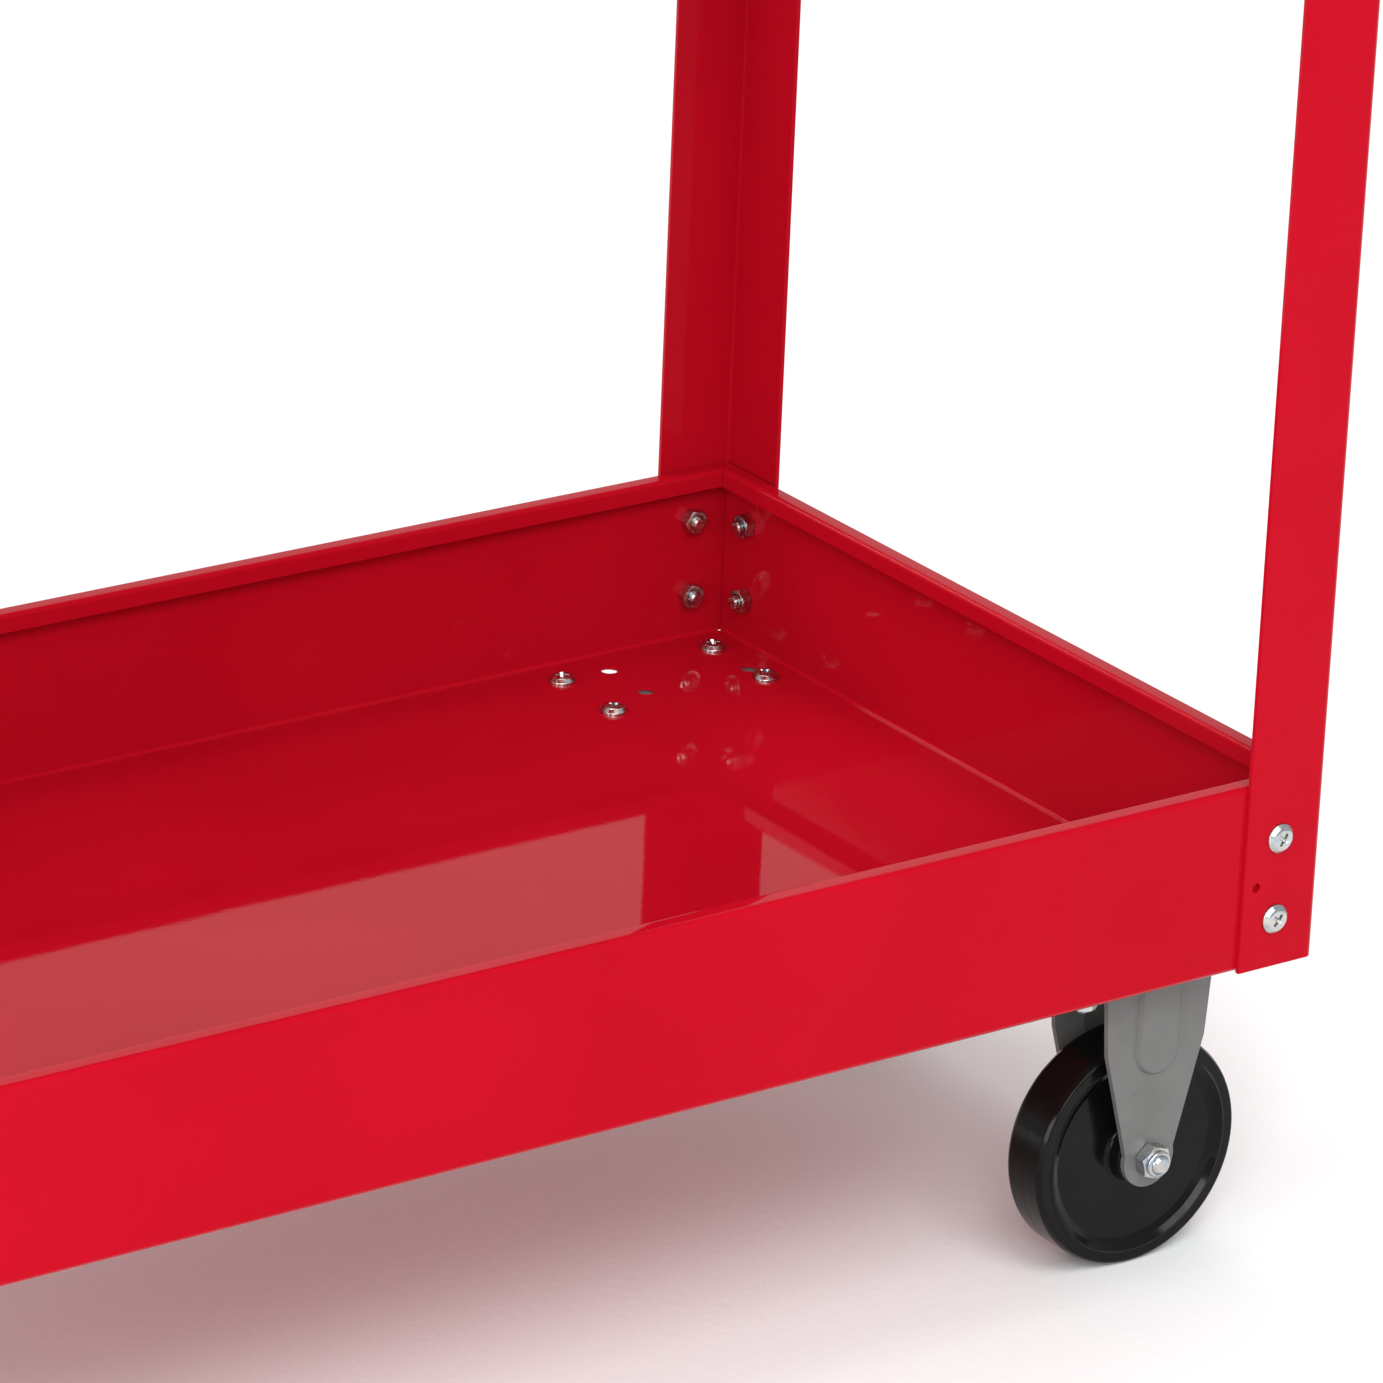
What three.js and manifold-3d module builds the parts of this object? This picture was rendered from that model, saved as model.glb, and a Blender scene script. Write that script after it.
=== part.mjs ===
// A two-tier workshop tray trolley that bolts together: two folded steel trays, four steel angle
// legs, a tubular push handle, two fixed castors at one end and two swivel castors at the other.
// Millimetres, +Z up. +X runs along the trays, towards the fixed castors, and -Y is the front.
// The origin is on the ground, under the middle of the whole trolley with its handle.
import * as THREE from "three";
import { mergeVertices } from "three/addons/utils/BufferGeometryUtils.js";
import Module from "manifold-3d";

const wasm = await Module();
wasm.setup();

// ---- Driving dimensions ----
const trolleyLength = 762; // over the legs, handle left out
const trolleyWidth = 415; // over the legs
const legLength = 640; // from the underside of the lower tray to the rim of the top one

const legFlange = 38; // each side of the angle
const legSheet = 2;
const legJigHoleMargin = 6.5; // small setting hole beside the lower screws, from the flange's edge
const legJigHoleHeight = 36;
const legJigHoleDiameter = 4;

const trayHeight = 80;
const traySheet = 1.2;
const rimWidth = 9; // flange folded in along the top of each wall
const rimDrop = 8; // lip folded down from the flange, measured from the top

const screwDiameter = 6; // M6 everywhere but the axles
const screwInset = 21.5; // tray screws, from the outer corner of the leg
const lowScrewHeight = 21; // above the underside of a tray
const highScrewHeight = 56;
const screwTip = 3; // thread that shows past a nut
const screwHeadDiameter = 12.4; // low round heads of the castor screws
const screwHeadHeight = 2.9;
const castorScrewTip = 2;

const nutAcross = 10;
const nutHeight = 6;
const nutFlangeDiameter = 13;
const nutFlangeHeight = 1.6;
const boltHeadAcross = 10;
const boltHeadHeight = 4;

const wheelDiameter = 100;
const wheelHeadroom = 35; // from the top of a wheel to the underside of the tray
const wheelWidth = 24;
const wheelRim = 6.5; // flat ring around each side of a wheel
const wheelSlope = 5.5; // width of the slope from the ring down to the web
const webDepth = 3.6; // how far each side of the web lies inside the ring
const treadRounding = 2;
const hubDiameter = 27;

const axleDiameter = 8;
const axleHeadAcross = 13;
const axleHeadHeight = 5.3;
const axleNutHeight = 7.6;
const axleTip = 1.2; // axle bolt that shows past its nut
const sleeveWall = 2; // steel sleeve that the wheel turns on

const castorFromEnd = 59.5; // middle of a castor's screws, from the end of the trolley
const castorFromSide = 41;
const castorScrewsLong = 80;
const castorScrewsWide = 40;
const spareScrewsLong = 55; // second set of holes, for a smaller castor
const spareScrewsWide = 28;
const plateMargin = 10; // plate past the middle of each castor screw
const plateSheet = 2.5;
const plateCorner = 6;

const forkSheet = 2.5;
const forkTopWidth = 54;
const forkWaistWidth = 49;
const forkWaistAboveAxle = 47;
const forkBossRadius = 12.5;
const ribWidth = 21; // pressed stiffening rib down each side of a fork
const ribHeight = 2; // how far the rib stands out
const ribEndAboveAxle = 33;

const swivelTrail = 35; // from the swivel axis to the axle
const raceDiameter = 48;
const raceHeight = 9;
const kingpinDiameter = 12;
const kingpinHeadDiameter = 20;
const kingpinHeadHeight = 4;

const handleTube = 25;
const handleWall = 1.5;
const handleLap = 90; // tube that lies along the leg, below its top
const handleRise = 12; // straight tube above the leg before the first bend
const handleLean = 50; // degrees from upright after the first bend
const handleArm = 40; // straight tube between the bends
const leanRadius = 60;
const cornerRadius = 48;
const plugLip = 3;
const plugDepth = 14;

// ---- Clearances ----
const seat = 0.2; // between faces that touch
const screwClearance = 1; // on the diameter of a screw's hole
const forkSideClearance = 4.25; // between a wheel's tread and each side of its fork
const hubPlay = 1; // between a wheel's hub and each side of its fork
const runningFit = 0.06; // radial, wheel bore on its sleeve
const threadFit = 0.08; // radial, axle nut on its bolt
const swivelFit = 0.3; // between the fork's crown and what carries it
const sleeveEndPlay = 0.25; // at each end of a sleeve

// ---- Facets ----
const HOLE_SIDES = 8;
const SHANK_SIDES = 8;
const AXLE_SIDES = 12;
const WHEEL_SIDES = 20;
const DISC_SIDES = 16;
const TUBE_SIDES = 12;
const TUBE_STEPS = 42;
const THROUGH = 2; // how far a cutting tool runs past what it cuts

// ---- What follows from them ----
const screwHoleDiameter = screwDiameter + screwClearance;
const axleDrop = wheelDiameter / 2 + wheelHeadroom; // from the tray's underside to the axle
const forkGap = wheelWidth + 2 * forkSideClearance;
const trayBottom = wheelDiameter / 2 + axleDrop;
const topTrayBottom = trayBottom + legLength - trayHeight;
const trayLength = trolleyLength - 2 * (legSheet + seat);
const trayWidth = trolleyWidth - 2 * (legSheet + seat);
const screwHeights = [lowScrewHeight, highScrewHeight];
const castorX = trolleyLength / 2 - castorFromEnd;
const castorY = trolleyWidth / 2 - castorFromSide;
const forkOuter = forkGap / 2 + forkSheet;
const sleeveRadius = axleDiameter / 2 + sleeveWall;
const handleX = -(trolleyLength / 2 + seat + handleTube / 2);
const handleY = trolleyWidth / 2 - screwInset;
const lean = THREE.MathUtils.degToRad(handleLean);
const handleReach =
  handleTube / 2 +
  leanRadius * (1 - Math.cos(lean)) +
  (handleArm + cornerRadius) * Math.sin(lean);
const overhang = seat + handleTube / 2 + handleReach; // handle past the end of the legs

// ---- Solids ----
function solid(geometry) {
  const bare = geometry.index ? geometry.toNonIndexed() : geometry.clone();
  bare.deleteAttribute("normal");
  bare.deleteAttribute("uv");
  const merged = mergeVertices(bare, 1e-4);
  const mesh = new wasm.Mesh({
    numProp: 3,
    vertProperties: merged.attributes.position.array,
    triVerts: new Uint32Array(merged.index.array),
  });
  return new wasm.Manifold(mesh);
}

function geometryOf(body) {
  const mesh = body.getMesh();
  const geometry = new THREE.BufferGeometry();
  geometry.setAttribute("position", new THREE.BufferAttribute(mesh.vertProperties, 3));
  geometry.setIndex(new THREE.BufferAttribute(mesh.triVerts, 1));
  return geometry;
}

const join = (first, ...rest) => rest.reduce((body, next) => body.add(next), first);
const cut = (first, ...tools) => tools.reduce((body, tool) => body.subtract(tool), first);

// A block from its lowest corner to its highest.
function block(low, high) {
  const size = high.map((value, i) => value - low[i]);
  const geometry = new THREE.BoxGeometry(...size);
  geometry.translate(...low.map((value, i) => value + size[i] / 2));
  return solid(geometry);
}

// A round bar or prism along an axis, from one point of that axis to another.
function bar(axis, radius, from, to, at, sides) {
  const geometry = new THREE.CylinderGeometry(radius, radius, to - from, sides);
  geometry.translate(0, (from + to) / 2, 0);
  if (axis === "x") {
    geometry.rotateZ(-Math.PI / 2);
    geometry.translate(0, at[0], at[1]);
  } else if (axis === "y") {
    geometry.translate(at[0], 0, at[1]);
  } else {
    geometry.rotateX(Math.PI / 2);
    geometry.translate(at[0], at[1], 0);
  }
  return solid(geometry);
}

const hexRadius = (across) => across / 2 / Math.cos(Math.PI / 6);
// The corner radius that keeps the flats of a polygon at a given radius.
const clearRadius = (radius, sides) => radius / Math.cos(Math.PI / sides);

// An outline in the XY plane made into a plate that rises along +Z from a height.
function plate(shape, from, to) {
  const geometry = new THREE.ExtrudeGeometry(shape, {
    depth: to - from,
    bevelEnabled: false,
    curveSegments: 2,
  });
  geometry.translate(0, 0, from);
  return solid(geometry);
}

// An outline in the XZ plane made into a plate between two values of y.
function uprightPlate(shape, from, to) {
  const geometry = new THREE.ExtrudeGeometry(shape, {
    depth: to - from,
    bevelEnabled: false,
    curveSegments: 5,
  });
  geometry.rotateX(Math.PI / 2);
  geometry.translate(0, to, 0);
  return solid(geometry);
}

function roundedRectangle(length, width, corner) {
  const x = length / 2;
  const y = width / 2;
  const shape = new THREE.Shape();
  shape.moveTo(-x + corner, -y);
  shape.lineTo(x - corner, -y);
  shape.absarc(x - corner, -y + corner, corner, -Math.PI / 2, 0);
  shape.lineTo(x, y - corner);
  shape.absarc(x - corner, y - corner, corner, 0, Math.PI / 2);
  shape.lineTo(-x + corner, y);
  shape.absarc(-x + corner, y - corner, corner, Math.PI / 2, Math.PI);
  shape.lineTo(-x, -y + corner);
  shape.absarc(-x + corner, -y + corner, corner, Math.PI, (3 * Math.PI) / 2);
  return shape;
}

// ---- Finishes ----
const finish = (color, roughness, metalness) => () =>
  new THREE.MeshStandardMaterial({ color, roughness, metalness });
const redPaint = finish(0xc0142a, 0.25, 0);
const greyPaint = finish(0x838480, 0.45, 0.2);
const blackPlastic = finish(0x1d1d1b, 0.35, 0);
const zinc = finish(0xc4c8cc, 0.3, 1);

const trolley = new THREE.Group();

function add(parent, name, body, material, position = [0, 0, 0]) {
  const mesh = new THREE.Mesh(geometryOf(body), material());
  mesh.name = name;
  mesh.position.set(...position);
  parent.add(mesh);
}

const corners = [
  { end: 1, side: -1, name: "front_right" },
  { end: 1, side: 1, name: "back_right" },
  { end: -1, side: -1, name: "front_left" },
  { end: -1, side: 1, name: "back_left" },
];

// ---- Trays ----
// The middles of the castor screws at one corner, in the trolley's plan.
function castorScrews(corner) {
  const points = [];
  for (const along of [-1, 1]) {
    for (const across of [-1, 1]) {
      const x = corner.end * castorX + (along * castorScrewsLong) / 2;
      points.push([x, corner.side * castorY + (across * castorScrewsWide) / 2]);
    }
  }
  return points;
}

// The spare holes share the castor's screw nearest the corner of the trolley.
function spareHoles(corner) {
  const x = corner.end * (castorX + castorScrewsLong / 2);
  const y = corner.side * (castorY + castorScrewsWide / 2);
  const inX = x - corner.end * spareScrewsLong;
  const inY = y - corner.side * spareScrewsWide;
  return [[inX, y], [inX, inY], [x, inY]];
}

function tray(floorHoles) {
  const x = trayLength / 2;
  const y = trayWidth / 2;
  const inside = (inset, low, high) => block([inset - x, inset - y, low], [x - inset, y - inset, high]);
  const shell = cut(
    inside(0, 0, trayHeight),
    inside(traySheet, traySheet, trayHeight - traySheet),
    inside(rimWidth, trayHeight - 2 * traySheet, trayHeight + THROUGH),
  );
  const lipTop = trayHeight - traySheet / 2;
  const lip = cut(
    inside(rimWidth - traySheet, trayHeight - rimDrop, lipTop),
    inside(rimWidth, trayHeight - rimDrop - THROUGH, trayHeight),
  );
  const radius = screwHoleDiameter / 2;
  const tools = [];
  for (const height of screwHeights) {
    for (const corner of corners) {
      const screwX = corner.end * (trolleyLength / 2 - screwInset);
      const screwY = corner.side * (trolleyWidth / 2 - screwInset);
      const wallX = corner.end * x;
      const wallY = corner.side * y;
      const reach = traySheet + THROUGH;
      tools.push(bar("y", radius, wallY - reach, wallY + reach, [screwX, height], HOLE_SIDES));
      tools.push(bar("x", radius, wallX - reach, wallX + reach, [screwY, height], HOLE_SIDES));
    }
  }
  for (const point of floorHoles) {
    tools.push(bar("z", radius, -THROUGH, traySheet + THROUGH, point, HOLE_SIDES));
  }
  return cut(join(shell, lip), ...tools);
}

const castorHoles = corners.flatMap((corner) => [...castorScrews(corner), ...spareHoles(corner)]);
add(trolley, "lower_tray", tray(castorHoles), redPaint, [0, 0, trayBottom]);
add(trolley, "top_tray", tray([]), redPaint, [0, 0, topTrayBottom]);

// ---- Legs ----
// An angle whose outer edge stands at the group's corner, with its flanges running inwards.
function leg(corner) {
  const { end, side } = corner;
  const shape = new THREE.Shape();
  shape.moveTo(0, 0);
  shape.lineTo(-end * legFlange, 0);
  shape.lineTo(-end * legFlange, -side * legSheet);
  shape.lineTo(-end * legSheet, -side * legSheet);
  shape.lineTo(-end * legSheet, -side * legFlange);
  shape.lineTo(0, -side * legFlange);
  const radius = screwHoleDiameter / 2;
  const reach = legSheet + THROUGH;
  const tools = [];
  for (const level of [0, legLength - trayHeight]) {
    for (const height of screwHeights) {
      const z = level + height;
      tools.push(bar("y", radius, -reach, reach, [-end * screwInset, z], HOLE_SIDES));
      tools.push(bar("x", radius, -reach, reach, [-side * screwInset, z], HOLE_SIDES));
    }
  }
  const jigHole = [-end * (legFlange - legJigHoleMargin), legJigHoleHeight];
  tools.push(bar("y", legJigHoleDiameter / 2, -reach, reach, jigHole, HOLE_SIDES));
  return cut(plate(shape, 0, legLength), ...tools);
}

for (const corner of corners) {
  const x = (corner.end * trolleyLength) / 2;
  const y = (corner.side * trolleyWidth) / 2;
  add(trolley, "leg_" + corner.name, leg(corner), redPaint, [x, y, trayBottom]);
}

// ---- Push handle ----
// Up both legs, out over the end of the trolley and across, in a frame whose origin is
// midway between the tops of the two legs.
function handlePath() {
  const up = new THREE.Vector3(0, 0, 1);
  const out = new THREE.Vector3(-Math.sin(lean), 0, Math.cos(lean));
  const path = new THREE.CurvePath();
  const arm = (side) => {
    const bottom = new THREE.Vector3(0, side * handleY, -handleLap);
    const bendStart = new THREE.Vector3(0, side * handleY, handleRise);
    const knee = bendStart.clone().addScaledVector(up, leanRadius * Math.tan(lean / 2));
    const bendEnd = knee.clone().addScaledVector(out, leanRadius * Math.tan(lean / 2));
    const turnStart = bendStart.clone();
    turnStart.x -= leanRadius * (1 - Math.cos(lean));
    turnStart.z += leanRadius * Math.sin(lean);
    turnStart.addScaledVector(out, handleArm);
    const elbow = turnStart.clone().addScaledVector(out, cornerRadius);
    const turnEnd = elbow.clone();
    turnEnd.y -= side * cornerRadius;
    return { bottom, bendStart, bendEnd, turnStart, turnEnd };
  };
  // A circular arc in the plane of two directions, from the first direction to the second.
  class Bend extends THREE.Curve {
    constructor(start, from, to, radius, angle) {
      super();
      Object.assign(this, { start, from, to, radius, angle });
    }
    getPoint(t, target = new THREE.Vector3()) {
      const turned = t * this.angle;
      target.copy(this.start);
      target.addScaledVector(this.from, this.radius * Math.sin(turned));
      return target.addScaledVector(this.to, this.radius * (1 - Math.cos(turned)));
    }
  }
  const outward = new THREE.Vector3(-1, 0, 0);
  const cross = new THREE.Vector3(0, 1, 0);
  const front = arm(-1);
  const back = arm(1);
  const backDown = out.clone().negate();
  const settle = new THREE.Vector3(-Math.cos(lean), 0, -Math.sin(lean));
  path.add(new THREE.LineCurve3(front.bottom, front.bendStart));
  path.add(new Bend(front.bendStart, up, outward, leanRadius, lean));
  path.add(new THREE.LineCurve3(front.bendEnd, front.turnStart));
  path.add(new Bend(front.turnStart, out, cross, cornerRadius, Math.PI / 2));
  path.add(new THREE.LineCurve3(front.turnEnd, back.turnEnd));
  path.add(new Bend(back.turnEnd, cross, backDown, cornerRadius, Math.PI / 2));
  path.add(new THREE.LineCurve3(back.turnStart, back.bendEnd));
  path.add(new Bend(back.bendEnd, backDown, settle, leanRadius, lean));
  path.add(new THREE.LineCurve3(back.bendStart, back.bottom));
  return path;
}

function handle() {
  const ring = new THREE.Shape();
  ring.absarc(0, 0, handleTube / 2, 0, 2 * Math.PI);
  const bore = new THREE.Path();
  bore.absarc(0, 0, handleTube / 2 - handleWall, 0, 2 * Math.PI);
  ring.holes.push(bore);
  const geometry = new THREE.ExtrudeGeometry(ring, {
    extrudePath: handlePath(),
    steps: TUBE_STEPS,
    curveSegments: TUBE_SIDES / 2,
  });
  const tools = [];
  for (const side of [-1, 1]) {
    for (const height of screwHeights) {
      const at = [side * handleY, height - trayHeight];
      tools.push(bar("x", screwHoleDiameter / 2, -handleTube, handleTube, at, HOLE_SIDES));
    }
  }
  return cut(solid(geometry), ...tools);
}

const handleGroup = new THREE.Group();
handleGroup.position.set(handleX, 0, trayBottom + legLength);
trolley.add(handleGroup);
add(handleGroup, "handle", handle(), redPaint);

// A flat cap under the open end of the tube, with a stem that plugs it.
function handlePlug() {
  const stem = handleTube / 2 - handleWall - seat - 1;
  return join(
    bar("z", handleTube / 2, -plugLip, 0, [0, 0], DISC_SIDES),
    bar("z", stem, -plugLip / 2, plugDepth - seat, [0, 0], TUBE_SIDES),
  );
}

// A hexagon-headed screw through the tube, the leg and the tray's wall, with its nut.
function handleScrew() {
  const tube = handleTube / 2 + seat;
  const wall = tube + legSheet + seat + traySheet + seat;
  const reach = hexRadius(boltHeadAcross);
  return join(
    bar("x", reach, -tube - boltHeadHeight, -tube, [0, 0], 6),
    bar("x", screwDiameter / 2, -tube - 1, wall + nutHeight + screwTip, [0, 0], SHANK_SIDES),
    bar("x", nutFlangeDiameter / 2, wall, wall + nutFlangeHeight, [0, 0], DISC_SIDES / 2),
    bar("x", hexRadius(nutAcross), wall + nutFlangeHeight / 2, wall + nutHeight, [0, 0], 6),
  );
}

for (const [side, name] of [[-1, "front"], [1, "back"]]) {
  const y = side * handleY;
  add(handleGroup, "handle_plug_" + name, handlePlug(), blackPlastic, [0, y, -handleLap - seat]);
  screwHeights.forEach((height, i) => {
    const label = "handle_screw_" + name + "_" + ["low", "high"][i];
    add(handleGroup, label, handleScrew(), zinc, [0, y, height - trayHeight]);
  });
}

// ---- Castors ----
// Each castor's frame has its origin at the middle of its screws, on the tray's underside.
const plateTop = -seat;
const plateUnder = plateTop - plateSheet;
const crownTop = plateUnder - raceHeight - swivelFit;
const crownUnder = crownTop - forkSheet;
const plateLength = castorScrewsLong + 2 * plateMargin;
const plateWidth = castorScrewsWide + 2 * plateMargin;

function screwHoles(body) {
  const tools = [];
  for (const x of [-castorScrewsLong / 2, castorScrewsLong / 2]) {
    for (const y of [-castorScrewsWide / 2, castorScrewsWide / 2]) {
      const radius = screwHoleDiameter / 2;
      tools.push(bar("z", radius, plateUnder - THROUGH, plateTop + THROUGH, [x, y], HOLE_SIDES));
    }
  }
  return cut(body, ...tools);
}

// One side of a fork in the XZ plane: straight to a waist, then tapering to the axle's boss.
function forkOutline(top, axleX) {
  const shape = new THREE.Shape();
  const waist = -axleDrop + forkWaistAboveAxle;
  const taper = Math.asin((forkWaistWidth / 2 - forkBossRadius) / forkWaistAboveAxle);
  const lowX = axleX * (forkWaistAboveAxle / (axleDrop + top));
  const waistX = axleX - lowX;
  shape.moveTo(-forkTopWidth / 2, top);
  shape.lineTo(waistX - forkWaistWidth / 2, waist);
  shape.absarc(axleX, -axleDrop, forkBossRadius, Math.PI - taper, 2 * Math.PI + taper);
  shape.lineTo(waistX + forkWaistWidth / 2, waist);
  shape.lineTo(forkTopWidth / 2, top);
  return shape;
}

// The rib's outline: straight sides from the top, a half round at the bottom.
function ribOutline(top, axleX) {
  const shape = new THREE.Shape();
  const radius = ribWidth / 2;
  const endZ = -axleDrop + ribEndAboveAxle + radius;
  const endX = axleX * ((top - endZ) / (top + axleDrop));
  shape.moveTo(-radius, top);
  shape.lineTo(endX - radius, endZ);
  shape.absarc(endX, endZ, radius, Math.PI, 2 * Math.PI);
  shape.lineTo(radius, top);
  return shape;
}

// Both sides of a fork with their ribs and the hole for the axle.
function forkSides(top, axleX) {
  const sides = [];
  for (const side of [-1, 1]) {
    const between = (inner, outer) => [inner * side, outer * side].sort((a, b) => a - b);
    sides.push(uprightPlate(forkOutline(top, axleX), ...between(forkGap / 2, forkOuter)));
    const proud = between(forkOuter - forkSheet / 2, forkOuter + ribHeight);
    sides.push(uprightPlate(ribOutline(top - forkSheet, axleX), ...proud));
  }
  const hole = clearRadius(axleDiameter / 2 + threadFit, AXLE_SIDES);
  const reach = forkOuter + THROUGH;
  const tool = bar("y", hole, -reach, reach, [axleX, -axleDrop], AXLE_SIDES);
  return { sides, tool };
}

// Fixed castor: the plate and both sides of the fork are one pressing, so the plate is as
// narrow as the fork between its four ears.
function fixedBracket() {
  const ear = (plateLength - forkTopWidth) / 2 - plateCorner;
  const web = block([-plateLength / 2, -forkOuter, plateUnder], [plateLength / 2, forkOuter, plateTop]);
  const ears = [-1, 1].map((end) => {
    const shape = roundedRectangle(ear, plateWidth, plateCorner);
    const body = plate(shape, plateUnder, plateTop);
    return body.translate([end * (plateLength / 2 - ear / 2), 0, 0]);
  });
  const { sides, tool } = forkSides(plateTop, 0);
  return cut(screwHoles(join(web, ...ears, ...sides)), tool);
}

function swivelPlate() {
  const body = plate(roundedRectangle(plateLength, plateWidth, plateCorner), plateUnder, plateTop);
  const hole = clearRadius(kingpinDiameter / 2 + threadFit, DISC_SIDES);
  const tool = bar("z", hole, plateUnder - THROUGH, plateTop + THROUGH, [0, 0], DISC_SIDES);
  return cut(screwHoles(body), tool);
}

// The ring of the ball race under a swivel castor's plate.
function ballRace() {
  const outer = bar("z", raceDiameter / 2, plateUnder - raceHeight, plateUnder - seat, [0, 0], DISC_SIDES);
  const hole = clearRadius(kingpinDiameter / 2 + threadFit, DISC_SIDES);
  const tool = bar("z", hole, plateUnder - raceHeight - THROUGH, plateUnder, [0, 0], DISC_SIDES);
  return cut(outer, tool);
}

// The rivet that holds the fork up: flush in the plate, with a round head under the crown.
function kingpin() {
  const headTop = crownUnder - swivelFit;
  return join(
    bar("z", kingpinDiameter / 2, headTop - 1, plateTop, [0, 0], DISC_SIDES),
    bar("z", kingpinHeadDiameter / 2, headTop - kingpinHeadHeight, headTop, [0, 0], DISC_SIDES),
  );
}

function swivelFork() {
  const crown = block([-forkTopWidth / 2, -forkOuter, crownUnder], [forkTopWidth / 2, forkOuter, crownTop]);
  const { sides, tool } = forkSides(crownTop, -swivelTrail);
  const hole = clearRadius(kingpinDiameter / 2 + swivelFit, DISC_SIDES);
  const pinHole = bar("z", hole, crownUnder - THROUGH, crownTop + THROUGH, [0, 0], DISC_SIDES);
  return cut(join(crown, ...sides), tool, pinHole);
}

// Half of the wheel's section, spun about the axle. The polygon's flats lie at the tread.
function wheel() {
  const tread = clearRadius(wheelDiameter / 2, WHEEL_SIDES);
  const bore = clearRadius(sleeveRadius + runningFit, WHEEL_SIDES);
  const face = wheelWidth / 2;
  const web = face - webDepth;
  const hub = forkGap / 2 - hubPlay;
  const ringInner = tread - wheelRim;
  const webOuter = ringInner - wheelSlope;
  const half = [
    [bore, hub],
    [hubDiameter / 2, hub],
    [hubDiameter / 2 + 1, web],
    [webOuter, web],
    [ringInner, face],
    [tread - treadRounding, face],
    [tread, face - treadRounding],
  ];
  const mirrored = half.map(([radius, y]) => [radius, -y]).reverse();
  const outline = [...half, ...mirrored, half[0]].map((point) => new THREE.Vector2(...point));
  const geometry = new THREE.LatheGeometry(outline.reverse(), WHEEL_SIDES, Math.PI / WHEEL_SIDES);
  return solid(geometry);
}

// The steel tube between the sides of the fork that the wheel's bore turns on.
function sleeve() {
  const end = forkGap / 2 - sleeveEndPlay;
  const hole = clearRadius(axleDiameter / 2 + threadFit, AXLE_SIDES);
  return cut(
    bar("y", sleeveRadius, -end, end, [0, 0], AXLE_SIDES),
    bar("y", hole, -end - THROUGH, end + THROUGH, [0, 0], AXLE_SIDES),
  );
}

// The axle bolt's thread points to the outside of the trolley, where its nut is.
function axleBolt(side) {
  const head = forkOuter + seat;
  const tip = forkOuter + seat + axleNutHeight + axleTip;
  const along = (from, to) => [from * side, to * side].sort((a, b) => a - b);
  return join(
    bar("y", axleDiameter / 2, ...along(-head - 1, tip), [0, 0], AXLE_SIDES),
    bar("y", hexRadius(axleHeadAcross), ...along(-head - axleHeadHeight, -head), [0, 0], 6),
  );
}

function axleNut(side) {
  const face = forkOuter + seat;
  const along = (from, to) => [from * side, to * side].sort((a, b) => a - b);
  const collar = face + axleNutHeight;
  const hole = clearRadius(axleDiameter / 2 + threadFit, AXLE_SIDES);
  return cut(
    join(
      bar("y", hexRadius(axleHeadAcross), ...along(face, face + 0.75 * axleNutHeight), [0, 0], 6),
      bar("y", axleHeadAcross / 2 - 0.6, ...along(face + 1, collar), [0, 0], AXLE_SIDES),
    ),
    bar("y", hole, ...along(face - THROUGH, collar + THROUGH), [0, 0], AXLE_SIDES),
  );
}

// A castor's screw goes down through the tray's floor and the plate to a flanged nut.
function castorScrew() {
  const floor = traySheet + seat;
  const nut = plateUnder - seat;
  const nutEnd = nut - nutHeight;
  return join(
    bar("z", screwHeadDiameter / 2, floor, floor + screwHeadHeight, [0, 0], DISC_SIDES / 2),
    bar("z", screwDiameter / 2, nutEnd - castorScrewTip, floor + 1, [0, 0], SHANK_SIDES),
    bar("z", nutFlangeDiameter / 2, nut - nutFlangeHeight, nut, [0, 0], DISC_SIDES / 2),
    bar("z", hexRadius(nutAcross), nutEnd, nut - nutFlangeHeight / 2, [0, 0], 6),
  );
}

for (const corner of corners) {
  const { end, side, name } = corner;
  const castor = new THREE.Group();
  castor.position.set(end * castorX, side * castorY, trayBottom);
  trolley.add(castor);
  const swivels = end < 0;
  const axleX = swivels ? -swivelTrail : 0;
  const axle = [axleX, 0, -axleDrop];
  if (swivels) {
    add(castor, "swivel_plate_" + name, swivelPlate(), zinc);
    add(castor, "ball_race_" + name, ballRace(), zinc);
    add(castor, "kingpin_" + name, kingpin(), zinc);
    add(castor, "swivel_fork_" + name, swivelFork(), greyPaint);
  } else {
    add(castor, "fixed_bracket_" + name, fixedBracket(), greyPaint);
  }
  add(castor, "wheel_" + name, wheel(), blackPlastic, axle);
  add(castor, "axle_sleeve_" + name, sleeve(), zinc, axle);
  add(castor, "axle_bolt_" + name, axleBolt(side), zinc, axle);
  add(castor, "axle_nut_" + name, axleNut(side), zinc, axle);
  castorScrews(corner).forEach(([x, y], i) => {
    const at = [x - end * castorX, y - side * castorY, 0];
    add(castor, "castor_screw_" + name + "_" + (i + 1), castorScrew(), zinc, at);
  });
}

// The middle of everything, handle included, stands over the origin.
trolley.position.x = overhang / 2;

const wholeTrolley = new THREE.Group();
wholeTrolley.add(trolley);
export default wholeTrolley;
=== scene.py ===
# %% [markdown]
# # A red two-tier tray trolley
# The real trolley is folded and punched steel sheet, held together with screws, on four pressed
# steel castors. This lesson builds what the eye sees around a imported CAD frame, and every piece
# takes its place from the frame's own boxes. Lengths are in metres; MM turns millimetres into them.

# %% Load the frame
import bpy
import bmesh
from math import asin, cos, pi, radians, sin, tan
from mathutils import Matrix, Vector


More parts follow.
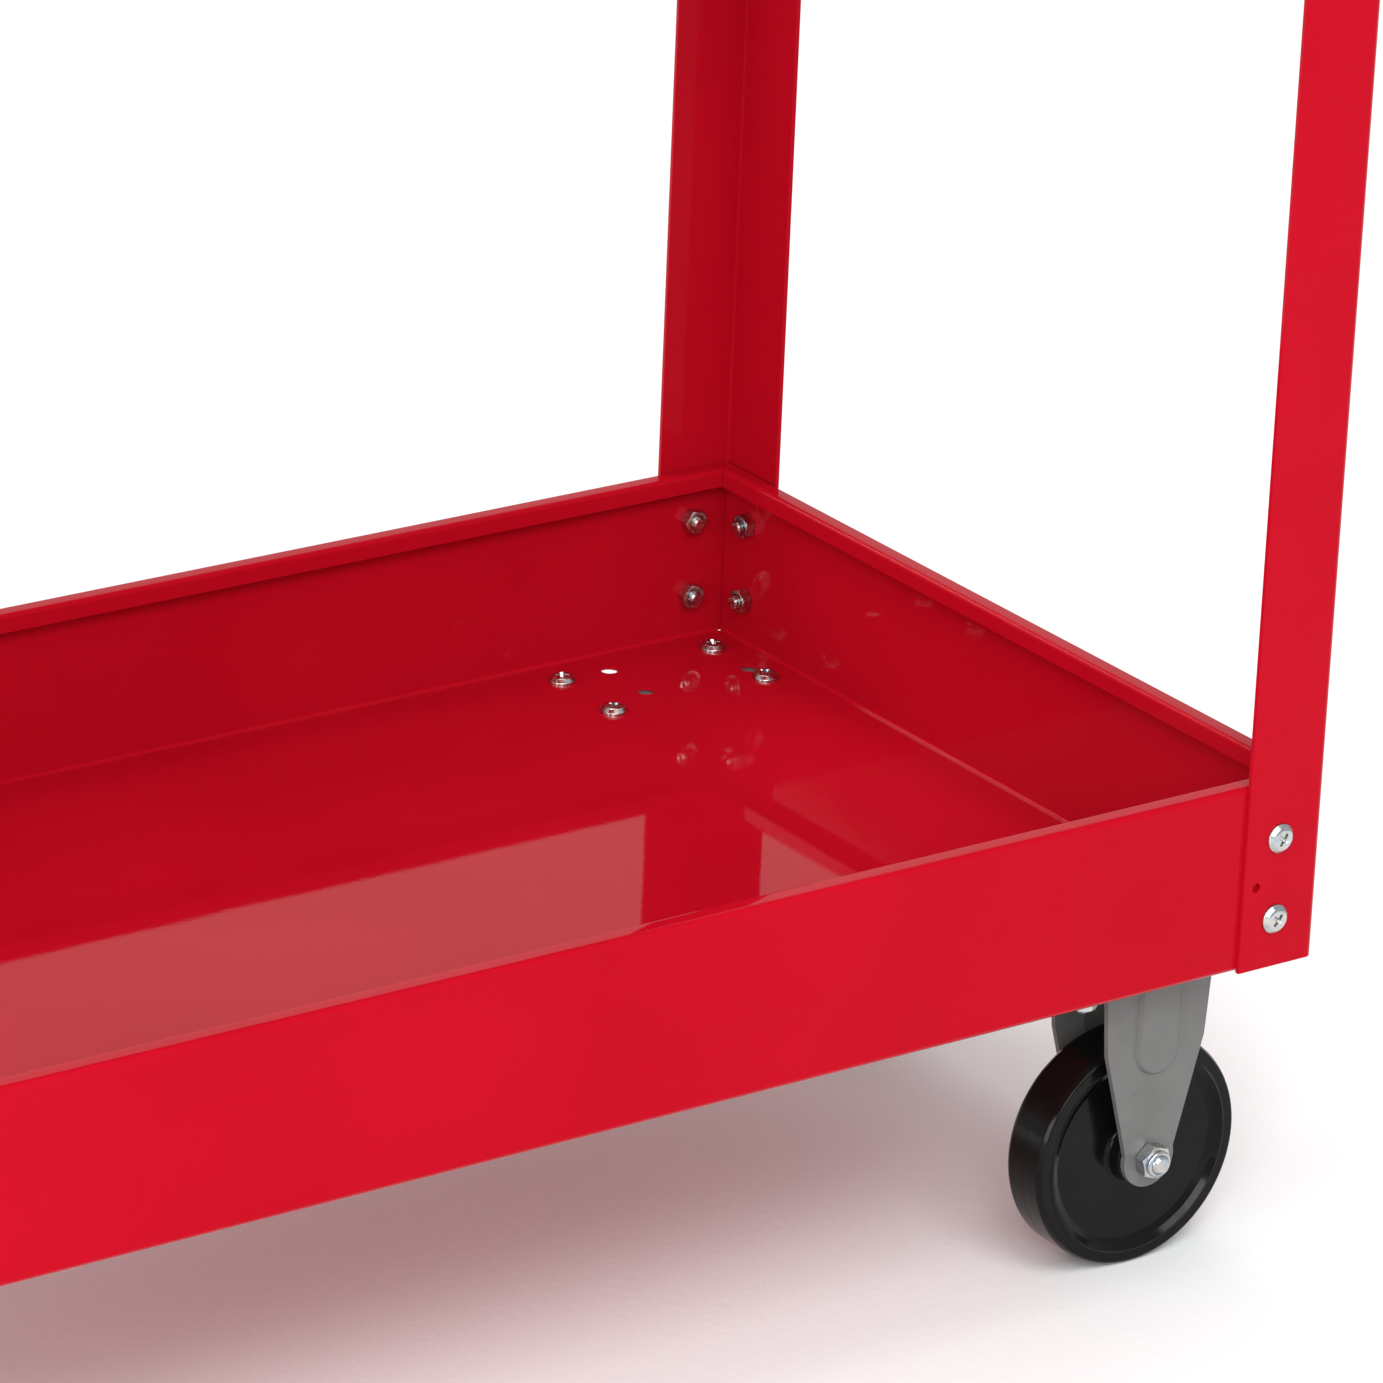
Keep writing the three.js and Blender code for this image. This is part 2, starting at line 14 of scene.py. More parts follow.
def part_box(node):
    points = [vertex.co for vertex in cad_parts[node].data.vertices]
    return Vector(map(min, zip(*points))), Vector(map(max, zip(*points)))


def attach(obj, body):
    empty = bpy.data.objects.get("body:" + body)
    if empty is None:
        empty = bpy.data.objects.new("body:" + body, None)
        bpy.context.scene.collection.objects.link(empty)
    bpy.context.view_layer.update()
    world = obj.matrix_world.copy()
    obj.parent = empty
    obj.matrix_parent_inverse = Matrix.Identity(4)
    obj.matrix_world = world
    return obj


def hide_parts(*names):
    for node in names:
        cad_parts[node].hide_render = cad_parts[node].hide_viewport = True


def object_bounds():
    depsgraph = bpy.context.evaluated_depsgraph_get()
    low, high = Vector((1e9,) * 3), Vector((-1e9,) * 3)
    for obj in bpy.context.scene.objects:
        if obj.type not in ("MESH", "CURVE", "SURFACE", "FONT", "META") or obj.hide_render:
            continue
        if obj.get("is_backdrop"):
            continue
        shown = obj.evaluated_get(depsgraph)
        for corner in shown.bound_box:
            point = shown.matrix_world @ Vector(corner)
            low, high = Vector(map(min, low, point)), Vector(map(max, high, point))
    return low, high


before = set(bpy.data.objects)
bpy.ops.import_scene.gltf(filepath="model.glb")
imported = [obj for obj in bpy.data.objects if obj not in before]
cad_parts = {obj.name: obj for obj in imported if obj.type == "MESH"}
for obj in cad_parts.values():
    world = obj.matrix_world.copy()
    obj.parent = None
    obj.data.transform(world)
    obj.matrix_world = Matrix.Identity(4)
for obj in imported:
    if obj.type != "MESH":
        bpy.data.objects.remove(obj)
cad_low, cad_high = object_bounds()
MM = 0.001


def middle(node):
    low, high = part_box(node)
    return (low + high) / 2


def in_scene(name, data):
    made = bpy.data.objects.new(name, data)
    bpy.context.scene.collection.objects.link(made)
    return made


# %% [markdown]
# ## The camera
# The view is a close one of the lower right corner, from the front left and above. A long lens
# from far away keeps parallel edges almost parallel. A tracking constraint would fight with other
# views, so the camera's turn is worked out once from the direction it looks in, plus a small roll.

# %% Aim the camera
LOOK_AZIMUTH = radians(35.675)  # from +Y towards +X
LOOK_DOWN = radians(21.722)
ROLL = radians(2.41)
LENS = 202.86
DISTANCE = 3.26
AIM = Vector((0.31793, 0.06104, 0.17909))

look = Vector((sin(LOOK_AZIMUTH) * cos(LOOK_DOWN), cos(LOOK_AZIMUTH) * cos(LOOK_DOWN), -sin(LOOK_DOWN)))
camera = in_scene("camera", bpy.data.cameras.new("camera"))
camera.data.lens = LENS
camera.data.sensor_width = 36
camera.data.clip_end = 100
upright = look.to_track_quat("-Z", "Y").to_matrix().to_4x4()
camera.matrix_world = Matrix.Translation(AIM - look * DISTANCE) @ upright @ Matrix.Rotation(ROLL, 4, "Z")
bpy.context.scene.camera = camera
print("camera at", [round(v, 3) for v in camera.location])

# %% [markdown]
# ## Soft light and a pale floor
# A glossy red sheet shows whatever stands around it, so the light is as plain as the inside of a
# white tent. A pale world does most of the work. The key stands low enough to reach the back wall
# of the lower tray from under the upper one, the steeper front light fills the tray's floor, a low
# fill finds the slopes of the pressings, and a light behind keeps the far side from going dull.

# %% Light the stage
WORLD_LIGHT = 0.61
world = bpy.data.worlds.new("tent")
world.use_nodes = True
world.node_tree.nodes["Background"].inputs["Color"].default_value = (1, 1, 1, 1)
world.node_tree.nodes["Background"].inputs["Strength"].default_value = WORLD_LIGHT
bpy.context.scene.world = world
bpy.context.scene.view_settings.view_transform = "Standard"


def soft_light(name, place, target, size, power):
    disk = bpy.data.lights.new(name, "AREA")
    disk.shape = "DISK"
    disk.size = size
    disk.energy = power
    lamp = in_scene(name, disk)
    lamp.location = place
    lamp.rotation_euler = (Vector(target) - Vector(place)).to_track_quat("-Z", "Y").to_euler()


LIGHTS = [
    ("key_light", (-2.4, -3.5, 2.65), (0.1, 0, 0.3), 2.4, 100),
    ("front_light", (-0.4, -2.8, 3.6), (0, 0, 0.3), 2.4, 80),
    ("fill_light", (-3.3, -1.0, 1.0), (0, 0, 0.3), 1.6, 36),
    ("back_light", (-1.2, 3.4, 2.6), (0, 0, 0.4), 2.2, 55),
    ("top_light", (0.4, 0.2, 4.6), (0, 0, 0), 2.6, 55),
]
for light in LIGHTS:
    soft_light(*light)
print("lights:", [light[0] for light in LIGHTS])

# %% [markdown]
# ## Materials
# Every finish reads Object coordinates. Each piece's object stands at the origin, so those are
# metres on the real trolley, and one noise scale means one grain size on every piece. A small
# class keeps the wiring short enough to read.

# %% A short way to wire nodes
class Finish:
    def __init__(self, name):
        self.material = bpy.data.materials.new(name)
        self.material.use_nodes = True
        self.tree = self.material.node_tree
        self.shader = self.tree.nodes["Principled BSDF"]
        self.coordinates = self.add("ShaderNodeTexCoord").outputs["Object"]

    def add(self, kind, **settings):
        node = self.tree.nodes.new(kind)
        for key, value in settings.items():
            setattr(node, key, value)
        return node

    def join(self, source, target):
        self.tree.links.new(source, target)

    def give(self, **sources):
        """Joins node outputs to the shader's sockets."""
        for key, source in sources.items():
            self.join(source, self.shader.inputs[key.replace("_", " ")])

    def set(self, **values):
        """Writes plain numbers on the shader's sockets."""
        for key, value in values.items():
            self.shader.inputs[key.replace("_", " ")].default_value = value

    def noise(self, scale, detail=2.0, roughness=0.5, stretch=None):
        noise = self.add("ShaderNodeTexNoise")
        noise.inputs["Scale"].default_value = scale
        noise.inputs["Detail"].default_value = detail
        noise.inputs["Roughness"].default_value = roughness
        source = self.coordinates
        if stretch:
            mapping = self.add("ShaderNodeMapping")
            mapping.inputs["Scale"].default_value = stretch
            self.join(source, mapping.inputs["Vector"])
            source = mapping.outputs["Vector"]
        self.join(source, noise.inputs["Vector"])
        return noise.outputs["Fac"]

    def ramp(self, source, stops):
        ramp = self.add("ShaderNodeValToRGB")
        elements = ramp.color_ramp.elements
        while len(elements) < len(stops):
            elements.new(0.5)
        for element, (position, color) in zip(elements, stops):
            element.position = position
            element.color = (*color, 1)
        self.join(source, ramp.inputs["Fac"])
        return ramp.outputs["Color"]

    def spread(self, source, low, high, start=0.3, end=0.7):
        remap = self.add("ShaderNodeMapRange")
        for key, value in (("From Min", start), ("From Max", end), ("To Min", low), ("To Max", high)):
            remap.inputs[key].default_value = value
        self.join(source, remap.inputs["Value"])
        return remap.outputs["Result"]

    def bump(self, source, distance, below=None):
        bump = self.add("ShaderNodeBump")
        bump.inputs["Distance"].default_value = distance
        self.join(source, bump.inputs["Height"])
        if below:
            self.join(below, bump.inputs["Normal"])
        return bump.outputs["Normal"]

    def done(self, slot):
        print("made", self.material.name)
        return self.material, slot


# %% [markdown]
# The red is a powder coat: an even, strong colour under a clear gloss skin. The skin flows out flat
# but keeps a fine orange peel, the sheet under it is a little wavy, and a few nibs of dust are
# caught in it. All three are bumps, so the reflections show them and the colour stays even. The
# skin is nearly a mirror at a flat angle and almost clear when faced, so its weight follows the tilt.

# %% Red gloss paint
paint = Finish("red gloss paint")
tone = paint.noise(9, detail=3)
paint.give(Base_Color=paint.ramp(tone, [(0.3, (0.415, 0.0031, 0.0125)), (0.7, (0.455, 0.0038, 0.0148))]))
paint.set(Roughness=0.42, IOR=1.4, Specular_IOR_Level=0.0, Coat_Roughness=0.03, Coat_IOR=1.33)
tilt = paint.add("ShaderNodeLayerWeight")
tilt.inputs["Blend"].default_value = 0.5
paint.give(Coat_Weight=paint.spread(tilt.outputs["Facing"], 0.08, 0.95, 0.26, 0.6))
waves = paint.bump(paint.noise(11, detail=1), 0.00012)
peel = paint.bump(paint.noise(620, detail=1), 0.0000055, waves)
specks = paint.add("ShaderNodeTexVoronoi")
specks.inputs["Scale"].default_value = 42
paint.join(paint.coordinates, specks.inputs["Vector"])
skin = paint.bump(paint.spread(specks.outputs["Distance"], 1, 0, 0.0, 0.016), 0.00006, peel)
paint.give(Normal=skin, Coat_Normal=skin)
RED = paint.done("red_paint")

# %% [markdown]
# The castors' pressings are sprayed a satin grey. It is thinner and drier than the red, so its grain
# is coarser, its sheen is broad, and its tone wanders a little.

# %% Grey satin paint
paint = Finish("grey satin paint")
tone = paint.noise(60, detail=4, roughness=0.6)
paint.give(Base_Color=paint.ramp(tone, [(0.3, (0.118, 0.120, 0.116)), (0.7, (0.141, 0.143, 0.138))]))
paint.give(Roughness=paint.spread(paint.noise(140), 0.27, 0.4))
paint.set(Metallic=0.0, Specular_IOR_Level=0.5)
grain = paint.bump(paint.noise(900, detail=3), 0.00002)
paint.give(Normal=paint.bump(paint.noise(90), 0.00006, grain))
GREY = paint.done("grey_paint")

# %% [markdown]
# The wheels are hard black plastic. The mould leaves them half shiny with a faint flow grain, and
# use dulls them in patches. The wheels turn, so the patches come from noise and not from a height.

# %% Black moulded plastic
plastic = Finish("black moulded plastic")
tone = plastic.noise(45, detail=5, roughness=0.65)
stops = [(0.35, (0.0030, 0.0031, 0.0028)), (0.75, (0.0065, 0.0065, 0.0060))]
plastic.give(Base_Color=plastic.ramp(tone, stops))
plastic.give(Roughness=plastic.spread(plastic.noise(75, detail=4, roughness=0.7), 0.09, 0.19))
plastic.set(Specular_IOR_Level=0.17, IOR=1.45)
grain = plastic.bump(plastic.noise(1400), 0.000004)
plastic.give(Normal=plastic.bump(plastic.noise(60), 0.00004, grain))
BLACK = plastic.done("wheel_plastic")

# %% [markdown]
# Screws, nuts and axles are zinc plated: bright metal under a skin that drifts from straw to blue.
# Tumbling in the plating barrel leaves small dents and scratches all over.

# %% Zinc plate
zinc = Finish("bright zinc plate")
hue = zinc.noise(160, detail=3, roughness=0.6)
stops = [(0.32, (0.34, 0.42, 0.49)), (0.5, (0.52, 0.53, 0.54)), (0.68, (0.60, 0.57, 0.49))]
zinc.give(Base_Color=zinc.ramp(hue, stops), Roughness=zinc.spread(zinc.noise(420, detail=4), 0.12, 0.34))
zinc.set(Metallic=1.0)
dents = zinc.bump(zinc.noise(700, detail=4, roughness=0.7), 0.00004)
zinc.give(Normal=zinc.bump(zinc.noise(300, stretch=(1, 9, 3)), 0.00003, dents))
ZINC = zinc.done("zinc_plate")

# %% [markdown]
# The handle's end plugs are soft black polythene, matt and faintly pebbled.

# %% Plug plastic
plastic = Finish("matt black polythene")
tone = plastic.noise(300, detail=3)
plastic.give(Base_Color=plastic.ramp(tone, [(0.35, (0.012, 0.012, 0.012)), (0.7, (0.022, 0.022, 0.023))]))
plastic.give(Roughness=plastic.spread(plastic.noise(500), 0.5, 0.68))
plastic.give(Normal=plastic.bump(plastic.noise(1600), 0.00003))
PLUG = plastic.done("black_cap")

# %% [markdown]
# The floor is pale and dry, with a mottle so faint that it only breaks up the shadows.

# %% Floor finish
ground = Finish("pale floor")
tone = ground.noise(1.3, detail=5, roughness=0.6)
ground.give(Base_Color=ground.ramp(tone, [(0.3, (0.865, 0.885, 0.887)), (0.7, (0.885, 0.905, 0.907))]))
ground.set(Roughness=0.9, Specular_IOR_Level=0.1)
ground.give(Normal=ground.bump(ground.noise(160, detail=3), 0.0002))
GROUND, _ = ground.done("floor")

# %% [markdown]
# ## The workshop
# A few tools make every piece. A section is a string of points whose corners are rounded by a
# vertex bevel, which gives a true arc. It is drawn out into a sheet, or spun into a turned part. A
# press tool is a closed shape that is cut out of another, or joined to it.

# %% Sections, turning and cutting
BEND_STEPS = 5


def string(bm, corners, closed=False):
    """Joins points into a wire; a corner given as (point, radius) is rounded to that radius."""
    verts = [bm.verts.new(point) for point, _ in corners]
    pairs = list(zip(verts, verts[1:])) + ([(verts[-1], verts[0])] if closed else [])
    for pair in pairs:
        bm.edges.new(pair)
    for i, (vert, (_, radius)) in enumerate(zip(verts, corners)):
        if not radius:
            continue
        here = Vector(corners[i][0])
        before = Vector(corners[i - 1][0])
        after = Vector(corners[(i + 1) % len(corners)][0])
        turn = (here - before).angle(after - here)
        bmesh.ops.bevel(bm, geom=[vert], offset=radius * tan(turn / 2), offset_type="OFFSET",
                        segments=BEND_STEPS, profile=0.5, affect="VERTICES", material=-1)


def only(kind, geometry):
    return [item for item in geometry if isinstance(item, kind)]


def shift(bm, made, vector):
    """Moves what an extrusion has just made."""
    bmesh.ops.translate(bm, vec=vector, verts=only(bmesh.types.BMVert, made))


def end_on(x, rows):
    """The points of a section that is seen from the end, along X."""
    return [(Vector((x, y, z)), rounding) for y, z, rounding in rows]


def draw_out(bm, vector):
    """Pulls a wire into a sheet of faces."""
    shift(bm, bmesh.ops.extrude_edge_only(bm, edges=bm.edges[:])["geom"], vector)


def close_up(bm):
    """Fills a flat closed wire with one face."""
    bmesh.ops.contextual_create(bm, geom=bm.edges[:])


def thicken(bm, depth):
    """Draws every face of a flat sheet out along a vector into a closed plate."""
    shift(bm, bmesh.ops.extrude_face_region(bm, geom=bm.faces[:], use_keep_orig=True)["geom"], depth)
    bmesh.ops.recalc_face_normals(bm, faces=bm.faces[:])


def thick_sheet(bm, thickness, outward, key=lambda face: face.calc_center_median().z):
    """Thickens a folded sheet on its inside; the face with the highest key looks outward."""
    bmesh.ops.recalc_face_normals(bm, faces=bm.faces[:])
    if max(bm.faces, key=key).normal.dot(Vector(outward)) < 0:
        bmesh.ops.reverse_faces(bm, faces=bm.faces[:])
    bmesh.ops.solidify(bm, geom=bm.faces[:], thickness=thickness)


def soften(bm, width, angle=35):
    """Breaks every edge sharper than an angle."""
    bm.normal_update()
    sharp = [e for e in bm.edges if len(e.link_faces) == 2 and e.calc_face_angle(0) > radians(angle)]
    bmesh.ops.bevel(bm, geom=sharp, offset=width, offset_type="OFFSET", segments=2,
                    profile=0.5, affect="EDGES", clamp_overlap=True, material=-1)


def as_mesh(bm):
    mesh = bpy.data.meshes.new("shape")
    bm.to_mesh(mesh)
    bm.free()
    return mesh


def combine(first, second, operation):
    """Cuts, joins or intersects two closed meshes."""
    body, tool = in_scene("body", first), in_scene("tool", second)
    boolean = body.modifiers.new("combine", "BOOLEAN")
    boolean.object = tool
    boolean.operation = operation
    boolean.solver = "EXACT"
    seen = body.evaluated_get(bpy.context.evaluated_depsgraph_get())
    made = bpy.data.meshes.new_from_object(seen)
    for item in (body, tool):
        bpy.data.objects.remove(item)
    return made


def placed(mesh, places):
    """One mesh that holds a copy of another at every place."""
    bm = bmesh.new()
    for place in places:
        old = len(bm.verts)
        bm.from_mesh(mesh)
        bm.verts.ensure_lookup_table()
        bmesh.ops.transform(bm, matrix=place, verts=bm.verts[old:])
    return as_mesh(bm)


def gathered(meshes):
    bm = bmesh.new()
    for mesh in meshes:
        bm.from_mesh(mesh)
    return as_mesh(bm)


# %% [markdown]
# Every piece is handed over in the same way. It gets its finish, smooth faces with its real edges
# kept sharp, and normals weighted by area, so that a big flat face next to a small bend stays
# flat. Then it rides on its body and stands for its CAD nodes.

# %% Hand a piece over to the frame
def piece(name, mesh, finish, body, stands_for=(), crease=32):
    material, slot = finish
    mesh.name = name
    mesh.materials.clear()
    mesh.materials.append(material)
    mesh.shade_smooth()
    mesh.set_sharp_from_angle(angle=radians(crease))
    made = in_scene(name, mesh)
    weighted = made.modifiers.new("flat faces stay flat", "WEIGHTED_NORMAL")
    weighted.keep_sharp = True
    weighted.weight = 80
    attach(made, body)
    if stands_for:
        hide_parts(*stands_for)
    print("made", name, len(mesh.polygons), "faces")


# %% [markdown]
# ## The trays
# Each tray starts as one flat blank. Its four edges fold up into walls, and the top of each wall
# folds in to make a rim and down again to make a lip. Where two walls meet, the blank is notched,
# which leaves a thin open line up every corner, and the rims meet in a mitre that is almost closed.
# A box with an inset top would show none of this. Every wall is drawn as its folded section and
# pulled along its length, and each point at its ends slides back to the mitre, less its gap.

# %% Tray dimensions
SHEET = 1.2 * MM
FOLD_RADIUS = 2.8 * MM  # outside of the fold between floor and wall
RIM_RADIUS = 2.1 * MM
RIM_WIDTH = 9 * MM
RIM_DROP = 8 * MM
CORNER_GAP = 1.3 * MM
RIM_GAP = 0.12 * MM
FLOOR_EDGE = 12 * MM


def mitre_gap(inset, z, height):
    """How far a point of a wall's section stays short of the mitre."""
    if z < height / 2:
        return 0 if inset > FOLD_RADIUS * 0.99 else CORNER_GAP
    return RIM_GAP if inset > RIM_RADIUS * 0.99 else CORNER_GAP


def folded_wall(bm, half_length, distance, height, quarter_turns):
    """One wall with its fold, rim and lip, mitred at both ends."""
    wall = bmesh.new()
    rim = RIM_WIDTH - distance
    string(wall, end_on(-half_length, [
        (FLOOR_EDGE - distance, 0, 0), (-distance, 0, FOLD_RADIUS), (-distance, height, RIM_RADIUS),
        (rim, height, RIM_RADIUS), (rim, height - RIM_DROP, 0)]))
    draw_out(wall, (2 * half_length, 0, 0))
    for vert in wall.verts:
        inset = vert.co.y + distance
        end = 1 if vert.co.x > 0 else -1
        vert.co.x = end * (half_length - inset - mitre_gap(inset, vert.co.z, height))
    bmesh.ops.rotate(wall, verts=wall.verts[:], cent=(0, 0, 0),
                     matrix=Matrix.Rotation(quarter_turns * pi / 2, 3, "Z"))
    bm.from_mesh(as_mesh(wall))


def folded_tray(length, width, height):
    """The whole tray as a closed sheet, centred over the origin and standing on it."""
    bm = bmesh.new()
    for quarter in range(4):
        halves = (length / 2, width / 2) if quarter % 2 == 0 else (width / 2, length / 2)
        folded_wall(bm, *halves, height, quarter)
    bmesh.ops.remove_doubles(bm, verts=bm.verts[:], dist=1e-6)
    inner = [v for v in bm.verts if abs(v.co.z) < 1e-7 and
             abs(abs(v.co.x) - length / 2) > FLOOR_EDGE * 0.99 and
             abs(abs(v.co.y) - width / 2) > FLOOR_EDGE * 0.99]
    bmesh.ops.contextual_create(bm, geom=inner)
    thick_sheet(bm, SHEET, (0, 0, -1), key=lambda face: face.calc_area())
    return as_mesh(bm)


print("rim", RIM_WIDTH, "lip", RIM_DROP, "fold radius", FOLD_RADIUS)

# %% [markdown]
# The holes are punched before painting, so the coat rounds their edges. The tool for a hole widens
# where it leaves each face of the sheet, and cutting with it leaves a rounded edge. All the tools of
# a sheet are joined into one mesh first, because one cut is faster than forty.

# %% A turned shape, a rod and a hole's tool
PUNCH_SPARE = 1.5 * MM
COAT_ROUNDING = 0.3 * MM


def turned(corners, steps=32, closed=False):
    """Spins a section, given as (radius, height, rounding), about Z into a closed shape."""
    bm = bmesh.new()
    string(bm, [(Vector((radius, 0, height)), rounding) for radius, height, rounding in corners], closed)
    bmesh.ops.spin(bm, geom=bm.verts[:] + bm.edges[:], cent=(0, 0, 0), axis=(0, 0, 1), dvec=(0, 0, 0),
                   angle=2 * pi, steps=steps, use_merge=True, use_duplicate=False)
    bmesh.ops.remove_doubles(bm, verts=bm.verts[:], dist=1e-7)
    bmesh.ops.recalc_face_normals(bm, faces=bm.faces[:])
    return as_mesh(bm)


def rod(radius, low, high, steps=32):
    """A plain round bar along Z."""
    return turned([(0, low, 0), (radius, low, 0), (radius, high, 0), (0, high, 0)], steps)


def hole_tool(diameter, thickness):
    """Cuts a hole through a sheet that lies between z = 0 and z = -thickness."""
    radius, edge = diameter / 2, COAT_ROUNDING
    low = -thickness - PUNCH_SPARE
    return turned([
        (0, PUNCH_SPARE, 0), (radius + edge, PUNCH_SPARE, 0), (radius + edge, 0, 0), (radius, -edge, 0),
        (radius, edge - thickness, 0), (radius + edge, -thickness, 0), (radius + edge, low, 0),
        (0, low, 0)], 28)


def facing(point, direction, spin=0):
    """The place of a part whose +Z points along a direction and whose +Y points up."""
    turned_to = Vector(direction).to_track_quat("Z", "Y").to_matrix().to_4x4()
    return Matrix.Translation(point) @ turned_to @ Matrix.Rotation(spin, 4, "Z")


# %% [markdown]
# ## Where things are
# The corners are named as in the CAD, front or back and left or right. A corner's fixings are
# measured from the outer edge of its leg, as a fitter would mark them out.

# %% Corners, fixing heights and insets
UP = Vector((0, 0, 1))
CORNERS = {"front_right": (1, -1), "back_right": (1, 1), "front_left": (-1, -1), "back_left": (-1, 1)}
LEG_SHEET = 2 * MM
SCREW_INSET = 21.5 * MM
SCREW_HEIGHTS = (21 * MM, 56 * MM)
SCREW_HOLE = 7 * MM
TRAYS = {"lower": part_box("lower_tray"), "top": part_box("top_tray")}
LEVELS = [low.z for low, high in TRAYS.values()]


def leg_corner(name):
    """The outer corner of a leg, on the ground plan."""
    low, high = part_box("leg_" + name)
    end, side = CORNERS[name]
    return Vector((high.x if end > 0 else low.x, high.y if side > 0 else low.y, 0))


def fixings(name, level):
    """The tray screws of one corner at one tray: points on the leg's outer faces and directions."""
    end, side = CORNERS[name]
    corner = leg_corner(name)
    found = []
    for height in SCREW_HEIGHTS:
        on_side = corner + Vector((-end * SCREW_INSET, 0, level + height))
        on_end = corner + Vector((0, -side * SCREW_INSET, level + height))
        found += [(on_side, Vector((0, side, 0))), (on_end, Vector((end, 0, 0)))]
    return found


def castor_screw_centres(name):
    return [middle(f"castor_screw_{name}_{i}") for i in (1, 2, 3, 4)]


print("trays stand at", [round(level, 4) for level in LEVELS])

# %% [markdown]
# The lower tray has two patterns of castor holes at each corner: the one in use, and three spare
# holes that would take a smaller castor together with the screw nearest the corner.

# %% The two trays
SPARE_LONG = 55 * MM
SPARE_WIDE = 28 * MM


def spare_holes(name):
    end, side = CORNERS[name]
    centres = castor_screw_centres(name)
    shared = max(centres, key=lambda c: end * c.x + side * c.y)
    x, y = shared.x - end * SPARE_LONG, shared.y - side * SPARE_WIDE
    return [Vector((x, shared.y, 0)), Vector((x, y, 0)), Vector((shared.x, y, 0))]


def tray(which, floor_holes):
    low, high = TRAYS[which]
    blank = folded_tray(*(high - low))
    blank.transform(Matrix.Translation(((low.x + high.x) / 2, (low.y + high.y) / 2, low.z)))
    tool = hole_tool(SCREW_HOLE, SHEET)
    places = []
    for name in CORNERS:
        for point, out in fixings(name, low.z):
            wall = point.copy()
            axis = 0 if abs(out.x) > 0.5 else 1
            wall[axis] = high[axis] if out[axis] > 0 else low[axis]
            places.append(facing(wall, out))
    places += [facing((c.x, c.y, low.z + SHEET), UP) for c in floor_holes]
    return combine(blank, placed(tool, places), "DIFFERENCE")


lower_holes = [c for name in CORNERS for c in castor_screw_centres(name) + spare_holes(name)]
piece("tray_lower", tray("lower", lower_holes), RED, "frame", ["lower_tray"])
piece("tray_top", tray("top", []), RED, "frame", ["top_tray"])

# %% [markdown]
# ## The legs
# A leg is a strip of 2 mm sheet folded once, down its middle. The fold's round outside edge is the
# brightest line on the whole trolley, so it gets its real radius.

# %% The angle legs
LEG_FLANGE = 38 * MM
LEG_FOLD = 3 * MM
JIG_HOLE = 4 * MM
JIG_INSET = 31.5 * MM
JIG_HEIGHT = 36 * MM
SHEARED_EDGE = 0.25 * MM


def angle_leg(name):
    low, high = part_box("leg_" + name)
    end, side = CORNERS[name]
    corner = leg_corner(name) + Vector((0, 0, low.z))
    bm = bmesh.new()
    string(bm, [(corner - Vector((end * LEG_FLANGE, 0, 0)), 0), (corner, LEG_FOLD),
                (corner - Vector((0, side * LEG_FLANGE, 0)), 0)])
    draw_out(bm, (0, 0, high.z - low.z))
    thick_sheet(bm, LEG_SHEET, (end, side, 0))
    soften(bm, SHEARED_EDGE, angle=60)
    places = [facing(point, out) for level in LEVELS for point, out in fixings(name, level)]
    cut = combine(as_mesh(bm), placed(hole_tool(SCREW_HOLE, LEG_SHEET), places), "DIFFERENCE")
    jig = corner + Vector((-end * JIG_INSET, 0, JIG_HEIGHT))
    return combine(cut, placed(hole_tool(JIG_HOLE, LEG_SHEET), [facing(jig, (0, side, 0))]), "DIFFERENCE")


for name in CORNERS:
    piece("angle_leg_" + name, angle_leg(name), RED, "frame", ["leg_" + name])

# %% [markdown]
# ## Fixings
# A hexagon nut is cut from bar and its corners are turned off, which gives the curved edges that
# make a nut look like a nut. So a hexagonal prism is intersected with a turned ring, whose section
# also holds the bore and the small countersink at each end.

# %% A turned-off hexagon
NUT_TURNING = radians(30)  # slope of the turned-off corners
BORE_MOUTH = 0.5 * MM


def hexagon(across, low, high, bore=0.0, turned_ends=(1, 1)):
    reach = across / 2 / cos(pi / 6)
    face = across / 2 * 0.97
    wide = reach * 1.02
    drop = (wide - face) * tan(NUT_TURNING)
    bm = bmesh.new()
    bmesh.ops.create_circle(bm, segments=6, radius=reach, cap_ends=True)
    thicken(bm, (0, 0, high - low))
    bmesh.ops.translate(bm, verts=bm.verts[:], vec=(0, 0, low))
    top = [(wide, high - drop, 0), (face, high, 0)] if turned_ends[1] else [(wide, high, 0)]
    bottom = [(face, low, 0), (wide, low + drop, 0)] if turned_ends[0] else [(wide, low, 0)]
    if bore:
        inside = [(bore + BORE_MOUTH, high, 0), (bore, high - BORE_MOUTH, 0),
                  (bore, low + BORE_MOUTH, 0), (bore + BORE_MOUTH, low, 0)]
        ring = turned(bottom + top + inside, 48, closed=True)
    else:
        ring = turned([(0, low, 0)] + bottom + top + [(0, high, 0)], 48)
    return combine(as_mesh(bm), ring, "INTERSECT")


def thread(radius, low, high, pitch=1.0 * MM, tip=0.8 * MM):
    """A threaded end: ridges one pitch apart, then a bevelled tip at the high end."""
    depth = 0.55 * pitch
    section = [(0, low, 0), (radius, low, 0)]
    turns = int((high - tip - low) / pitch)
    for i in range(turns):
        start = low + i * pitch
        section += [(radius, start + 0.2 * pitch, 0), (radius - depth, start + 0.55 * pitch, 0),
                    (radius, start + 0.9 * pitch, 0)]
    section += [(radius - 0.1 * MM, high - tip, 0), (radius - tip, high, 0), (0, high, 0)]
    return turned(section, 28)


# %% [markdown]
# The tray's own screws have plain nuts. The castors' nuts have a washer flange, a shallow cone with
# a rounded rim, turned on its own and joined on.

